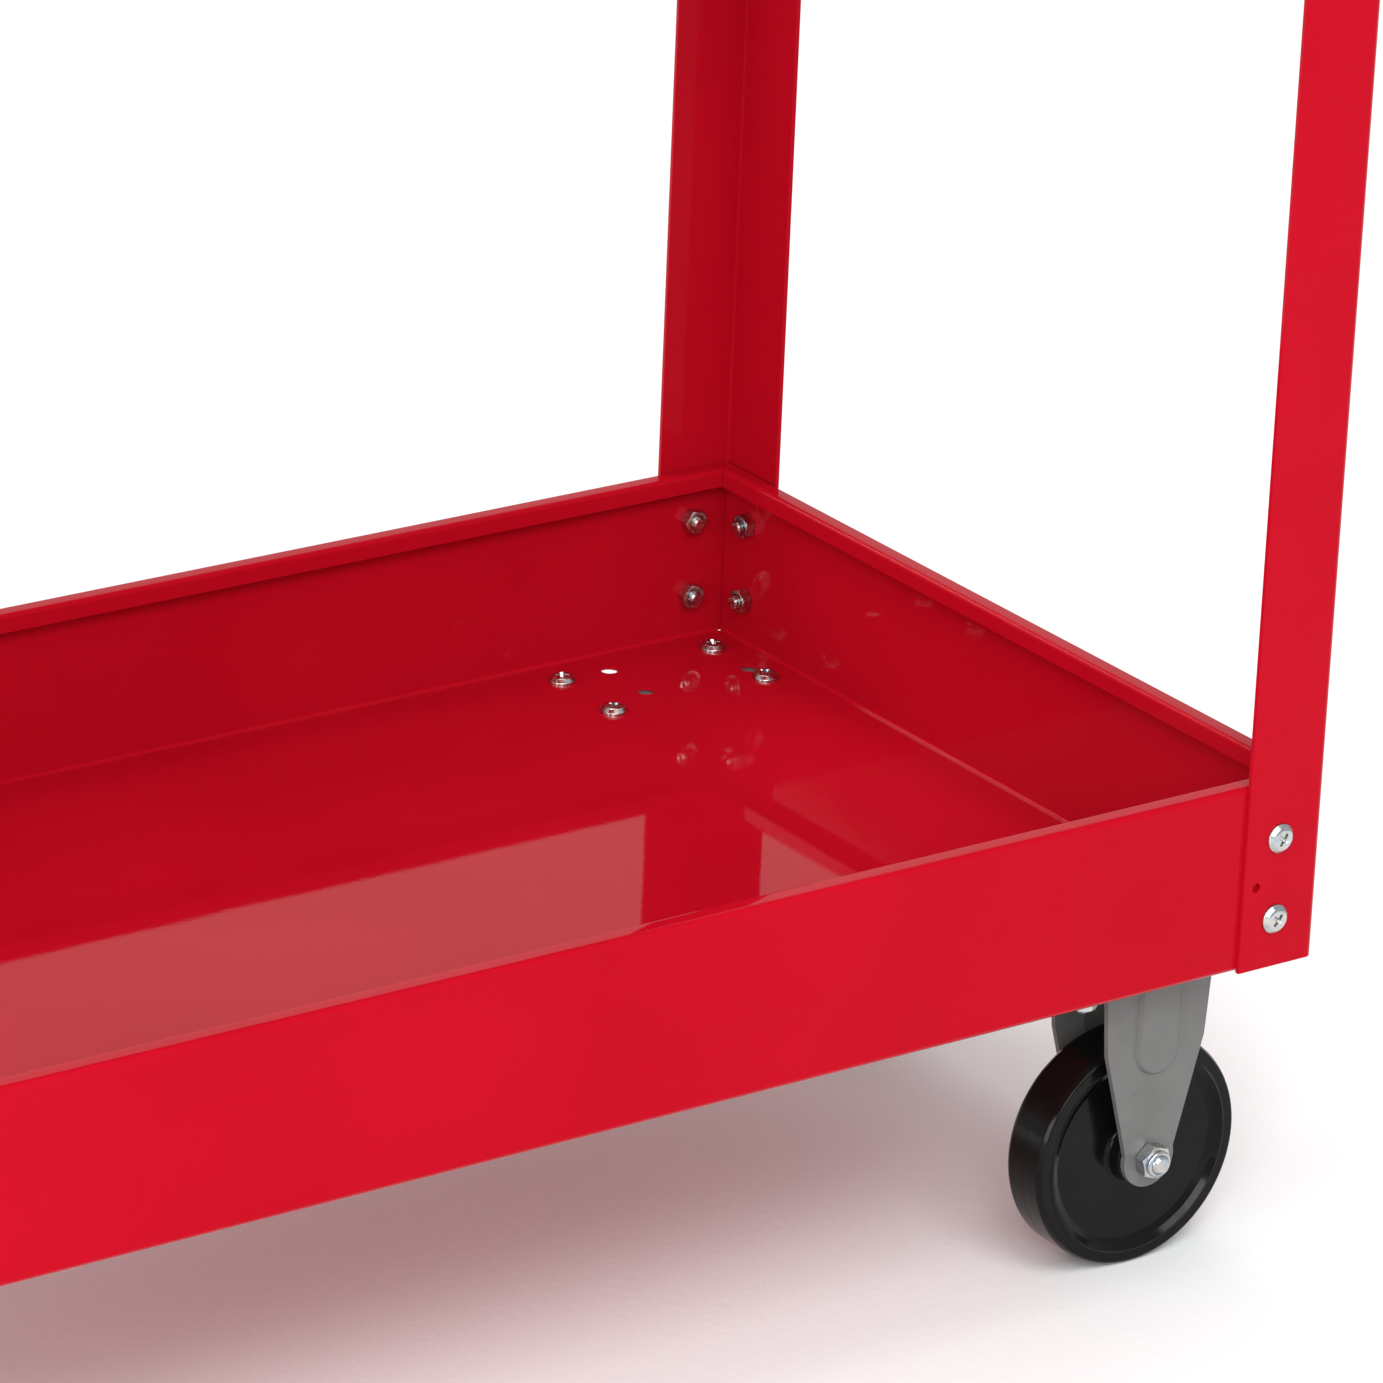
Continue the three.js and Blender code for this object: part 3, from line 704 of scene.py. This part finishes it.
# %% Plain and flanged nuts
NUT_ACROSS = 10 * MM
NUT_HEIGHT = 6 * MM
PLAIN_NUT = 5 * MM
NUT_FLANGE = 13 * MM
BOLT_RADIUS = 3 * MM


def flanged_nut():
    flange = turned([
        (BOLT_RADIUS, 0, 0), (NUT_FLANGE / 2, 0, 0.3 * MM), (NUT_FLANGE / 2, 1.0 * MM, 0.4 * MM),
        (NUT_ACROSS / 2, 2.1 * MM, 0), (BOLT_RADIUS, 2.1 * MM, 0)], 48, closed=True)
    body = hexagon(NUT_ACROSS, 0.8 * MM, NUT_HEIGHT, BOLT_RADIUS - 0.1 * MM, (0, 1))
    return combine(flange, body, "UNION")


# %% [markdown]
# The tray screws are truss heads, wide and low. Their recess is cut out of the dome by a cross-shaped
# punch whose lower end is drawn in. The punch is turned a little first, because a cut that runs
# exactly along the edges of the dome can leave splinters.

# %% Cross-recess screw
HEAD_RADIUS = 6.2 * MM
HEAD_HEIGHT = 3.1 * MM
RECESS_REACH = 3.5 * MM
RECESS_HALF = 0.85 * MM
RECESS_FLOOR = 0.8 * MM
RECESS_NARROWS = 0.45


def recess_punch():
    """A cross that narrows downwards and stands through the top of a head."""
    bm = bmesh.new()
    top = HEAD_HEIGHT + 0.6 * MM
    quarter = [(RECESS_HALF, RECESS_HALF), (RECESS_REACH, RECESS_HALF), (RECESS_REACH, -RECESS_HALF)]
    corners = [Matrix.Rotation(-i * pi / 2, 3, "Z") @ Vector((x, y, top))
               for i in range(4) for x, y in quarter]
    string(bm, [(corner, 0) for corner in corners], closed=True)
    close_up(bm)
    thicken(bm, (0, 0, RECESS_FLOOR - top))
    low = [v for v in bm.verts if v.co.z < top - 0.1 * MM]
    bmesh.ops.scale(bm, verts=low, vec=(RECESS_NARROWS, RECESS_NARROWS, 1))
    return placed(as_mesh(bm), [Matrix.Rotation(radians(3.3), 4, "Z")])


def truss_head():
    dome = turned([(0, 0, 0), (HEAD_RADIUS, 0, 0), (HEAD_RADIUS, 0.9 * MM, 0.5 * MM),
                   (HEAD_RADIUS * 0.72, HEAD_HEIGHT * 0.86, 2.0 * MM), (0, HEAD_HEIGHT, 0)], 48)
    return combine(dome, recess_punch(), "DIFFERENCE")


# %% [markdown]
# Nobody lines up the recesses of thirty screws, so every head is turned by its own amount. It comes
# from the golden angle, which never repeats and needs no random numbers.

# %% Screws and nuts of every corner
GOLDEN = radians(137.5)
PAINT_GAP = 0.02 * MM
SEAT = 0.2 * MM
TIGHT_THREAD = BOLT_RADIUS + 0.1 * MM
FREE_THREAD = BOLT_RADIUS - 0.15 * MM
STUD_PROUD = 2.4 * MM


def tray_fixings():
    head = truss_head()
    nut = hexagon(NUT_ACROSS, 0, PLAIN_NUT, BOLT_RADIUS)
    wall = LEG_SHEET + SHEET + SEAT
    stud = thread(TIGHT_THREAD, 0, PLAIN_NUT + STUD_PROUD)
    count = 0
    for name, (end, side) in CORNERS.items():
        heads, nuts = [], []
        for level in LEVELS:
            for point, out in fixings(name, level):
                if level == LEVELS[1] and out.x < -0.5:
                    continue
                count += 1
                heads.append(facing(point + out * PAINT_GAP, out, count * GOLDEN))
                nuts.append(facing(point - out * (wall + PAINT_GAP), -out, count * 2 * GOLDEN))
        piece("screw_heads_" + name, placed(head, heads), ZINC, "frame")
        piece("wall_nuts_" + name, gathered([placed(nut, nuts), placed(stud, nuts)]), ZINC, "frame",
              crease=28)
    print("tray screws:", count)


tray_fixings()

# %% [markdown]
# The castors hang on the same truss-head screws. They go in from above, so that nothing snags on a
# thread, and their flanged nuts are under the plate.

# %% Castor screws
PLATE_SHEET = 2.5 * MM
SCREW_TIP = 2 * MM


def castor_screws():
    head, nut = truss_head(), flanged_nut()
    floor = LEVELS[0] + SHEET
    under = LEVELS[0] - SEAT - PLATE_SHEET
    shank = thread(FREE_THREAD, 0, floor - under + NUT_HEIGHT + SCREW_TIP)
    for count, name in enumerate(CORNERS):
        parts = []
        for i, centre in enumerate(castor_screw_centres(name)):
            turned_by = (4 * count + i) * GOLDEN
            top = Vector((centre.x, centre.y, floor))
            bottom = Vector((centre.x, centre.y, under))
            parts += [placed(head, [facing(top + UP * PAINT_GAP, UP, turned_by)]),
                      placed(shank, [facing(top, -UP)]),
                      placed(nut, [facing(bottom - UP * PAINT_GAP, -UP, 2 * turned_by)])]
        nodes = [f"castor_screw_{name}_{i}" for i in (1, 2, 3, 4)]
        piece("castor_screws_" + name, gathered(parts), ZINC, "frame", nodes, crease=28)


castor_screws()

# %% [markdown]
# ## The castors
# A castor's fork is blanked from 2.5 mm sheet, bent into a channel and pressed with a rib down each
# side. Two drawings make that shape: the outline seen from the side, drawn right through, and the
# channel seen from the end. What they share is the fork.

# %% Drawing an outline
class Outline:
    """A wire in the XZ plane, of runs and arcs that each start where the last ended."""

    def __init__(self, x, z):
        self.bm = bmesh.new()
        self.tip = self.bm.verts.new((x, 0, z))

    def line(self, x, z):
        made = bmesh.ops.extrude_vert_indiv(self.bm, verts=[self.tip])["verts"][0]
        made.co = (x, 0, z)
        self.tip = made
        return self

    def arc(self, x, z, angle, steps=20):
        """Turns anticlockwise, seen from the front, about a centre."""
        made = bmesh.ops.spin(self.bm, geom=[self.tip], cent=(x, 0, z), axis=(0, -1, 0), dvec=(0, 0, 0),
                              angle=angle, steps=steps, use_merge=False, use_duplicate=False)
        self.tip = only(bmesh.types.BMVert, made["geom_last"])[0]
        return self

    def plate(self, start, end):
        """Closes the wire and gives it thickness from one y to another."""
        bmesh.ops.remove_doubles(self.bm, verts=self.bm.verts[:], dist=1e-6)
        loose = [v for v in self.bm.verts if len(v.link_edges) == 1]
        if len(loose) == 2:
            self.bm.edges.new(loose)
        close_up(self.bm)
        thicken(self.bm, (0, end - start, 0))
        bmesh.ops.translate(self.bm, verts=self.bm.verts[:], vec=(0, start, 0))
        bmesh.ops.recalc_face_normals(self.bm, faces=self.bm.faces[:])
        return self.bm


# %% [markdown]
# Two measures come from the frame: how far the axle is under the tray, and how far a swivel castor's
# axle trails behind its kingpin. Heights are counted from the tray's underside.

# %% Castor dimensions
AXLE_DROP = LEVELS[0] - middle("wheel_front_right").z
FORK_INSIDE = 16.25 * MM
FORK_OUTSIDE = FORK_INSIDE + PLATE_SHEET
FORK_TOP_WIDTH = 54 * MM
WAIST_WIDTH = 49 * MM
WAIST_UP = 50 * MM
BOSS_RADIUS = 12.5 * MM
FORK_BEND = 4.5 * MM
RIB_WIDTH = 21 * MM
GROOVE_WIDTH = RIB_WIDTH - 1.6 * MM
RIB_UP = 37.5 * MM
RIB_PROUD = 2.2 * MM
RIB_SLOPE = 1.4 * MM
PLATE_TOP = -SEAT
PLATE_UNDER = PLATE_TOP - PLATE_SHEET
RACE_HEIGHT = 9 * MM
RACE_GAP = 0.3 * MM
CROWN_TOP = PLATE_UNDER - RACE_HEIGHT - RACE_GAP
BLANK_HALF = 25 * MM  # half the width of the drawings that the forks are cut with
CHANNEL_SPARE = 20 * MM
TRAIL = middle("wheel_front_left").x - middle("swivel_plate_front_left").x
AXLE_HOLE = 8.2 * MM
print("axle drop", round(AXLE_DROP, 4), "trail", round(TRAIL, 4))


def fork_outline(top, axle_x):
    waist = WAIST_UP - AXLE_DROP
    taper = asin((WAIST_WIDTH / 2 - BOSS_RADIUS) / WAIST_UP)
    waist_x = axle_x * (1 - WAIST_UP / (AXLE_DROP + top))
    path = Outline(-FORK_TOP_WIDTH / 2, top).line(waist_x - WAIST_WIDTH / 2, waist)
    path.line(axle_x - BOSS_RADIUS * cos(taper), -AXLE_DROP + BOSS_RADIUS * sin(taper))
    path.arc(axle_x, -AXLE_DROP, pi + 2 * taper, 28)
    return path.line(waist_x + WAIST_WIDTH / 2, waist).line(FORK_TOP_WIDTH / 2, top)


# %% [markdown]
# The rib is pressed out from the inside. Its top face is inset and raised in one step, which gives
# the sloped sides that a press leaves. The groove behind it is the same shape, a little narrower
# and moved in by the thickness of the sheet, and it is cut away.

# %% Rib, channel and fork
def rib_outline(top, axle_x, width):
    radius = width / 2
    end_z = -AXLE_DROP + RIB_UP + RIB_WIDTH / 2
    end_x = axle_x * ((top - end_z) / (top + AXLE_DROP))
    path = Outline(-radius, top).line(end_x - radius, end_z)
    return path.arc(end_x, end_z, pi).line(radius, top)


def rib(top, axle_x, side, width, base):
    """A tapered rib that stands out from y = base on one side."""
    bm = rib_outline(top, axle_x, width).plate(side * (base - 1 * MM), side * base)
    face = next(f for f in bm.faces if f.normal.y * side > 0.9)
    bmesh.ops.inset_region(bm, faces=[face], thickness=RIB_SLOPE, depth=RIB_PROUD, use_even_offset=True)
    bmesh.ops.recalc_face_normals(bm, faces=bm.faces[:])
    soften(bm, 0.4 * MM, angle=30)
    return as_mesh(bm)


def channel(top, half_length):
    """An upside-down U along X with round bends."""
    bm = bmesh.new()
    bottom = top - AXLE_DROP - CHANNEL_SPARE
    string(bm, end_on(-half_length, [(-FORK_OUTSIDE, bottom, 0), (-FORK_OUTSIDE, top, FORK_BEND),
                                     (FORK_OUTSIDE, top, FORK_BEND), (FORK_OUTSIDE, bottom, 0)]))
    draw_out(bm, (2 * half_length, 0, 0))
    thick_sheet(bm, PLATE_SHEET, UP)
    return as_mesh(bm)


def fork_sides(top, axle_x, half_length):
    """The channel cut to the fork's outline."""
    outline = fork_outline(top, axle_x).plate(-BLANK_HALF, BLANK_HALF)
    return combine(channel(top, half_length), as_mesh(outline), "INTERSECT")


def ribbed(body, top, axle_x):
    """Adds the ribs and their grooves, and drills the hole for the axle."""
    rib_top = top - PLATE_SHEET - FORK_BEND
    for side in (-1, 1):
        body = combine(body, rib(rib_top, axle_x, side, RIB_WIDTH, FORK_OUTSIDE), "UNION")
        body = combine(body, rib(rib_top, axle_x, side, GROOVE_WIDTH, FORK_INSIDE), "DIFFERENCE")
    drill = rod(AXLE_HOLE / 2, -30 * MM, 30 * MM)
    return combine(body, placed(drill, [facing((axle_x, 0, -AXLE_DROP), (0, 1, 0))]), "DIFFERENCE")


def rounded_plate(x, length, width, radius):
    """A piece of a castor's flat top plate, with round corners."""
    bm = bmesh.new()
    half_x, half_y = length / 2, width / 2
    string(bm, [(Vector((x + a * half_x, b * half_y, PLATE_UNDER)), radius)
                for a, b in ((-1, -1), (1, -1), (1, 1), (-1, 1))], closed=True)
    close_up(bm)
    thicken(bm, (0, 0, PLATE_TOP - PLATE_UNDER))
    soften(bm, 0.35 * MM)
    return as_mesh(bm)


# %% [markdown]
# The fixed castor's bracket is a single pressing, plate and fork in one. The plate keeps its full
# width only at its four ears.

# %% Fixed brackets
PLATE_LENGTH = 100 * MM
PLATE_WIDTH = 60 * MM
EAR = 17 * MM
EAR_CORNER = 6 * MM
NECK_OVERLAP = 3 * MM


def castor_place(name):
    """The middle of a castor's screws, on the underside of the lower tray."""
    centres = castor_screw_centres(name)
    return Vector((sum(c.x for c in centres) / 4, sum(c.y for c in centres) / 4, LEVELS[0]))


def at_castor(mesh, name):
    mesh.transform(Matrix.Translation(castor_place(name)))
    return mesh


def screw_holes(body, name):
    origin = castor_place(name)
    places = [facing((c.x - origin.x, c.y - origin.y, PLATE_TOP), UP) for c in castor_screw_centres(name)]
    return combine(body, placed(hole_tool(SCREW_HOLE, PLATE_SHEET), places), "DIFFERENCE")


def fixed_bracket(name):
    sides = fork_sides(PLATE_TOP, 0, 30 * MM)
    neck = (PLATE_LENGTH - FORK_TOP_WIDTH) / 2 + NECK_OVERLAP
    narrow = 2 * FORK_OUTSIDE - 2 * MM
    for end in (-1, 1):
        for length, width, corner in ((neck, narrow, 0.5 * MM), (EAR, PLATE_WIDTH, EAR_CORNER)):
            plate = rounded_plate(end * (PLATE_LENGTH / 2 - length / 2), length, width, corner)
            sides = combine(sides, plate, "UNION")
    return screw_holes(ribbed(sides, PLATE_TOP, 0), name)


for name in ("front_right", "back_right"):
    piece("bracket_" + name, at_castor(fixed_bracket(name), name), GREY, "frame", ["fixed_bracket_" + name])

# %% [markdown]
# A swivel castor is a flat plate, a ball race under it, the fork, and the rivet that closes them up.
# The race is drawn as its two pressed cups and the row of balls that shows in the gap between them.

# %% Swivel castors
RACE_RADIUS = 24 * MM
KINGPIN_RADIUS = 6 * MM
KINGPIN_HEAD = 10 * MM
BALLS = 22
BALL_RADIUS = 1.8 * MM


def pin_hole(body, clearance, top):
    tool = hole_tool(2 * KINGPIN_RADIUS + clearance, PLATE_SHEET)
    return combine(body, placed(tool, [Matrix.Translation((0, 0, top))]), "DIFFERENCE")


def swivel_fork():
    body = ribbed(fork_sides(CROWN_TOP, TRAIL, 80 * MM), CROWN_TOP, TRAIL)
    return pin_hole(body, 0.6 * MM, CROWN_TOP)


def swivel_plate(name):
    plate = rounded_plate(0, PLATE_LENGTH, PLATE_WIDTH, EAR_CORNER)
    return screw_holes(pin_hole(plate, 0.1 * MM, PLATE_TOP), name)


def ball_race():
    top = PLATE_UNDER - 0.05 * MM
    low = PLATE_UNDER - RACE_HEIGHT
    gap = (top + low) / 2
    inner, wide = KINGPIN_RADIUS + 0.3 * MM, RACE_RADIUS
    upper = turned([(inner, top, 0), (wide - 2 * MM, top, 1.5 * MM), (wide, gap + 0.8 * MM, 0.6 * MM),
                    (wide - 1.6 * MM, gap + 0.8 * MM, 0), (wide - 5 * MM, gap + 2 * MM, 0),
                    (inner, gap + 2 * MM, 0)], 64, closed=True)
    lower = turned([(inner, low, 0), (wide - 5 * MM, low, 1 * MM),
                    (wide - 0.6 * MM, gap - 0.8 * MM, 0.6 * MM), (wide - 2.2 * MM, gap - 0.8 * MM, 0),
                    (wide - 6 * MM, gap - 2.2 * MM, 0), (inner, gap - 2.2 * MM, 0)], 64, closed=True)
    ball = bmesh.new()
    bmesh.ops.create_uvsphere(ball, u_segments=16, v_segments=10, radius=BALL_RADIUS)
    ring = [Matrix.Rotation(2 * pi * i / BALLS, 4, "Z") @
            Matrix.Translation((wide - 3.2 * MM, 0, gap)) for i in range(BALLS)]
    return gathered([upper, lower, placed(as_mesh(ball), ring)])


def kingpin():
    head_top = CROWN_TOP - PLATE_SHEET - RACE_GAP
    return turned([(0, PLATE_TOP, 0), (KINGPIN_RADIUS, PLATE_TOP, 0), (KINGPIN_RADIUS, head_top, 0),
                   (KINGPIN_HEAD, head_top, 0.5 * MM), (KINGPIN_HEAD, head_top - 1.4 * MM, 1 * MM),
                   (4.5 * MM, head_top - 4 * MM, 2 * MM), (0, head_top - 4 * MM, 0)], 48)


for name in ("front_left", "back_left"):
    parts = [("fork_pressing_", swivel_fork(), GREY, "fork_" + name, "swivel_fork_"),
             ("top_plate_", swivel_plate(name), ZINC, "frame", "swivel_plate_"),
             ("race_cups_", ball_race(), ZINC, "frame", "ball_race_"),
             ("rivet_", kingpin(), ZINC, "frame", "kingpin_")]
    for label, mesh, finish, rides_on, node in parts:
        piece(label + name, at_castor(mesh, name), finish, rides_on, [node + name])

# %% [markdown]
# ## Wheels and axles
# A wheel is moulded in one piece: a thick tread ring with a thin bead round its inner edge, a slope
# down to a thin web, and a hub. Half its section is drawn and mirrored. Real mouldings have no sharp
# corners, and the bead's small roundings catch the thin arcs of light that outline the rim. The
# groove round the middle of the tread is where the mould parted.

# %% Wheel
WHEEL_RADIUS = 50 * MM
FACE = 12 * MM
WEB = FACE - 3.6 * MM
BEAD = 0.7 * MM  # how far the thin ring stands out of the face
HUB = FORK_INSIDE - 1 * MM
HUB_RADIUS = 13.4 * MM
TREAD_RING = 6.5 * MM
SLEEVE_RADIUS = 6 * MM
SHOULDER = 1.2 * MM
MOULD_LINE = 0.35 * MM


def wheel():
    ring_inner = WHEEL_RADIUS - TREAD_RING
    half = [(SLEEVE_RADIUS + 0.06 * MM, HUB, 0.4 * MM), (HUB_RADIUS - 0.8 * MM, HUB, 0.8 * MM),
            (HUB_RADIUS, WEB, 2.2 * MM), (ring_inner - 5.0 * MM, WEB, 1.6 * MM),
            (ring_inner - 2.2 * MM, WEB + 1.2 * MM, 1.2 * MM), (ring_inner, FACE, 0.35 * MM),
            (ring_inner + 0.9 * MM, FACE - BEAD, 0.5 * MM),
            (WHEEL_RADIUS - SHOULDER, FACE - BEAD, 1.1 * MM),
            (WHEEL_RADIUS, FACE - 3.0 * MM, 1.8 * MM)]
    crown = [(WHEEL_RADIUS, MOULD_LINE, 0), (WHEEL_RADIUS - 0.12 * MM, 0, 0),
             (WHEEL_RADIUS, -MOULD_LINE, 0)]
    other = [(radius, -height, rounding) for radius, height, rounding in reversed(half)]
    return turned(half + crown + other, 96, closed=True)


print("wheel radius", WHEEL_RADIUS, "tread ring", TREAD_RING)

# %% [markdown]
# The axle is a bolt with a lock nut. Above the nut's hexagon the metal is turned into a round collar
# that is rolled over a nylon ring, and the end of the bolt shows in the middle of it.

# %% Axle, sleeve and lock nut
AXLE_RADIUS = 4 * MM
AXLE_ACROSS = 13 * MM
AXLE_HEAD = 5.3 * MM
LOCK_NUT = 7.6 * MM
COLLAR_RADIUS = 5.75 * MM
COLLAR_BORE = AXLE_RADIUS + 0.05 * MM
AXLE_FIT = AXLE_RADIUS - 0.04 * MM
SLEEVE_BORE = AXLE_RADIUS + 0.08 * MM


def lock_nut():
    body = hexagon(AXLE_ACROSS, 0, LOCK_NUT * 0.72, AXLE_RADIUS)
    collar = turned([(COLLAR_BORE, LOCK_NUT * 0.5, 0), (COLLAR_RADIUS, LOCK_NUT * 0.5, 0),
                     (COLLAR_RADIUS, LOCK_NUT, 1.3 * MM), (COLLAR_BORE, LOCK_NUT, 0.4 * MM)],
                    48, closed=True)
    return combine(body, collar, "UNION")


def axle_bolt():
    face = FORK_OUTSIDE + SEAT
    head = hexagon(AXLE_ACROSS, -face - AXLE_HEAD, -face, 0, (1, 0))
    shank = thread(AXLE_FIT, 4 * MM, face + LOCK_NUT + 1.2 * MM, 1.25 * MM, 1.0 * MM)
    plain = rod(AXLE_FIT, -face - 0.4 * MM, 4.2 * MM)
    return combine(combine(head, plain, "UNION"), shank, "UNION")


def sleeve():
    end = FORK_INSIDE - 0.25 * MM
    return turned([(SLEEVE_BORE, end, 0.2 * MM), (SLEEVE_RADIUS, end, 0.3 * MM),
                   (SLEEVE_RADIUS, -end, 0.3 * MM), (SLEEVE_BORE, -end, 0.2 * MM)], 40, closed=True)


WHEEL, BOLT, NUT, SLEEVE = wheel(), axle_bolt(), lock_nut(), sleeve()
for i, (name, (_, side)) in enumerate(CORNERS.items()):
    body = "frame" if name.endswith("right") else "fork_" + name
    centre = middle("wheel_" + name)
    out = Vector((0, side, 0))  # the axle's nut is on the outside of the trolley
    axle = facing(centre, out, i * GOLDEN)
    nut_place = facing(centre + out * (FORK_OUTSIDE + SEAT), out, i * GOLDEN + radians(12))
    parts = [("rolling_wheel_", WHEEL, axle, BLACK, "roller_" + name, "wheel_"),
             ("axle_", BOLT, axle, ZINC, body, "axle_bolt_"),
             ("lock_nut_", NUT, nut_place, ZINC, body, "axle_nut_"),
             ("sleeve_", SLEEVE, axle, ZINC, body, "axle_sleeve_")]
    for label, mesh, place, finish, rides_on, node in parts:
        piece(label + name, placed(mesh, [place]), finish, rides_on, [node + name])

# %% [markdown]
# ## The push handle
# The handle is one length of 25 mm tube, bent four times. A ring of edges is pulled along the
# straights and spun through the bends, exactly as a tube bender works.

# %% Handle
TUBE_RADIUS = 12.5 * MM
TUBE_WALL = 1.5 * MM
LEAN = radians(50)
LEAN_RADIUS = 60 * MM
CORNER_RADIUS = 48 * MM
ARM = 40 * MM
RISE = 12 * MM
BORE_STEPS = 40


class Tube:
    """A ring of edges that is pulled and bent into a tube."""

    def __init__(self, centre, direction):
        self.bm = bmesh.new()
        bmesh.ops.create_circle(self.bm, segments=BORE_STEPS, radius=TUBE_RADIUS, cap_ends=False)
        place = facing(centre, direction)
        bmesh.ops.transform(self.bm, matrix=place, verts=self.bm.verts[:])
        self.ring = self.bm.edges[:]
        self.centre, self.direction = Vector(centre), Vector(direction)

    def pull(self, length):
        made = bmesh.ops.extrude_edge_only(self.bm, edges=self.ring)["geom"]
        shift(self.bm, made, self.direction * length)
        self.ring = [e for e in only(bmesh.types.BMEdge, made) if all(v in made for v in e.verts)]
        self.centre += self.direction * length
        return self

    def bend(self, towards, radius, angle, steps):
        towards = Vector(towards).normalized()
        pivot = self.centre + towards * radius
        axis = self.direction.cross(towards)
        made = bmesh.ops.spin(self.bm, geom=self.ring, cent=pivot, axis=axis, dvec=(0, 0, 0),
                              angle=angle, steps=steps, use_merge=False, use_duplicate=False)
        self.ring = only(bmesh.types.BMEdge, made["geom_last"])
        rotation = Matrix.Rotation(angle, 3, axis)
        self.centre = pivot + rotation @ (self.centre - pivot)
        self.direction = rotation @ self.direction
        return self


def push_handle():
    low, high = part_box("handle")
    screw_y = abs(middle("handle_screw_front_low").y)
    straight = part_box("leg_front_left")[1].z + RISE - low.z
    x = high.x - TUBE_RADIUS
    start = Vector((x, -screw_y, low.z))
    tube = Tube(start, UP).pull(straight)
    tube.bend((-1, 0, 0), LEAN_RADIUS, LEAN, 12).pull(ARM)
    tube.bend((0, 1, 0), CORNER_RADIUS, pi / 2, 16).pull(2 * (screw_y - CORNER_RADIUS))
    tube.bend((sin(LEAN), 0, -cos(LEAN)), CORNER_RADIUS, pi / 2, 16).pull(ARM)
    tube.bend((-cos(LEAN), 0, -sin(LEAN)), LEAN_RADIUS, LEAN, 12).pull(straight)
    bmesh.ops.remove_doubles(tube.bm, verts=tube.bm.verts[:], dist=1e-6)
    thick_sheet(tube.bm, TUBE_WALL, UP)
    print("handle starts at", [round(v, 4) for v in start], "and ends at", [round(v, 4) for v in tube.centre])
    drill = rod(SCREW_HOLE / 2, -20 * MM, 20 * MM, 28)
    places = [facing((x, side * screw_y, LEVELS[1] + height), (1, 0, 0))
              for side in (-1, 1) for height in SCREW_HEIGHTS]
    return combine(as_mesh(tube.bm), placed(drill, places), "DIFFERENCE")


piece("push_handle", push_handle(), RED, "frame", ["handle"])

# %% [markdown]
# Each open end of the tube has a moulded plug with a domed cap, and each leg of the handle is held
# by two long hexagon-headed screws that go through tube, leg and tray wall.

# %% Handle fixings
HANDLE_HEAD = 4 * MM
HANDLE_TIP = 3 * MM
WASHER = 1 * MM
CAP_LIP = 3 * MM


def end_plug(side_name):
    low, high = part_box("handle_plug_" + side_name)
    made = turned([(0, low.z, 0), (7 * MM, low.z, 3 * MM), (TUBE_RADIUS, low.z + 1.4 * MM, 1 * MM),
                   (TUBE_RADIUS, low.z + CAP_LIP, 0.3 * MM), (9.8 * MM, low.z + CAP_LIP, 0),
                   (9.6 * MM, high.z, 1 * MM), (0, high.z, 0)], 48)
    return placed(made, [Matrix.Translation(((low.x + high.x) / 2, (low.y + high.y) / 2, 0))])


def handle_screws(side_name, nut):
    parts = []
    out = Vector((-1, 0, 0))
    tube_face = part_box("handle")[1].x - 2 * TUBE_RADIUS - SEAT
    inside = TRAYS["top"][0].x + SHEET + PAINT_GAP
    head = hexagon(NUT_ACROSS, 0, HANDLE_HEAD, 0, (0, 1))
    washer = turned([(BOLT_RADIUS, 0, 0), (NUT_FLANGE / 2, 0, 0.2 * MM), (NUT_FLANGE / 2, WASHER, 0.3 * MM),
                     (BOLT_RADIUS, WASHER, 0)], 40, closed=True)
    shank = thread(FREE_THREAD, 0, inside - tube_face + NUT_HEIGHT + HANDLE_TIP)
    for i, which in enumerate(("low", "high")):
        centre = middle(f"handle_screw_{side_name}_{which}")
        start = Vector((tube_face, centre.y, centre.z))
        end = Vector((inside, centre.y, centre.z))
        parts += [placed(head, [facing(start, out, i * GOLDEN)]),
                  placed(washer, [facing(start - out * WASHER * 0.9, out)]),
                  placed(shank, [facing(start, -out)]),
                  placed(nut, [facing(end, -out, i * 2 * GOLDEN)])]
    return gathered(parts)


HANDLE_NUT = flanged_nut()
for side_name in ("front", "back"):
    piece("end_plug_" + side_name, end_plug(side_name), PLUG, "frame", ["handle_plug_" + side_name])
    nodes = [f"handle_screw_{side_name}_{which}" for which in ("low", "high")]
    piece("handle_screws_" + side_name, handle_screws(side_name, HANDLE_NUT), ZINC, "frame", nodes,
          crease=28)

# %% [markdown]
# ## The floor
# The floor is wide enough that its edge is never in view. It is not part of the trolley.

# %% Floor
FLOOR_REACH = 40
floor_grid = bmesh.new()
bmesh.ops.create_grid(floor_grid, x_segments=4, y_segments=4, size=FLOOR_REACH)
floor_mesh = as_mesh(floor_grid)
floor_mesh.materials.append(GROUND)
floor = in_scene("floor", floor_mesh)
floor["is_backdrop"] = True

# %% [markdown]
# How far the visual model stands out of the CAD model's box is printed for each axis, at both ends.
# The visual model has to stay in the CAD model's box.

# %% Write the sizes and finish
visual_low, visual_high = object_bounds()
for axis, low_a, high_a, low_b, high_b in zip("xyz", cad_low, cad_high, visual_low, visual_high):
    print(axis, "proud by", round((low_a - low_b) / MM, 2), "and", round((high_b - high_a) / MM, 2), "mm")
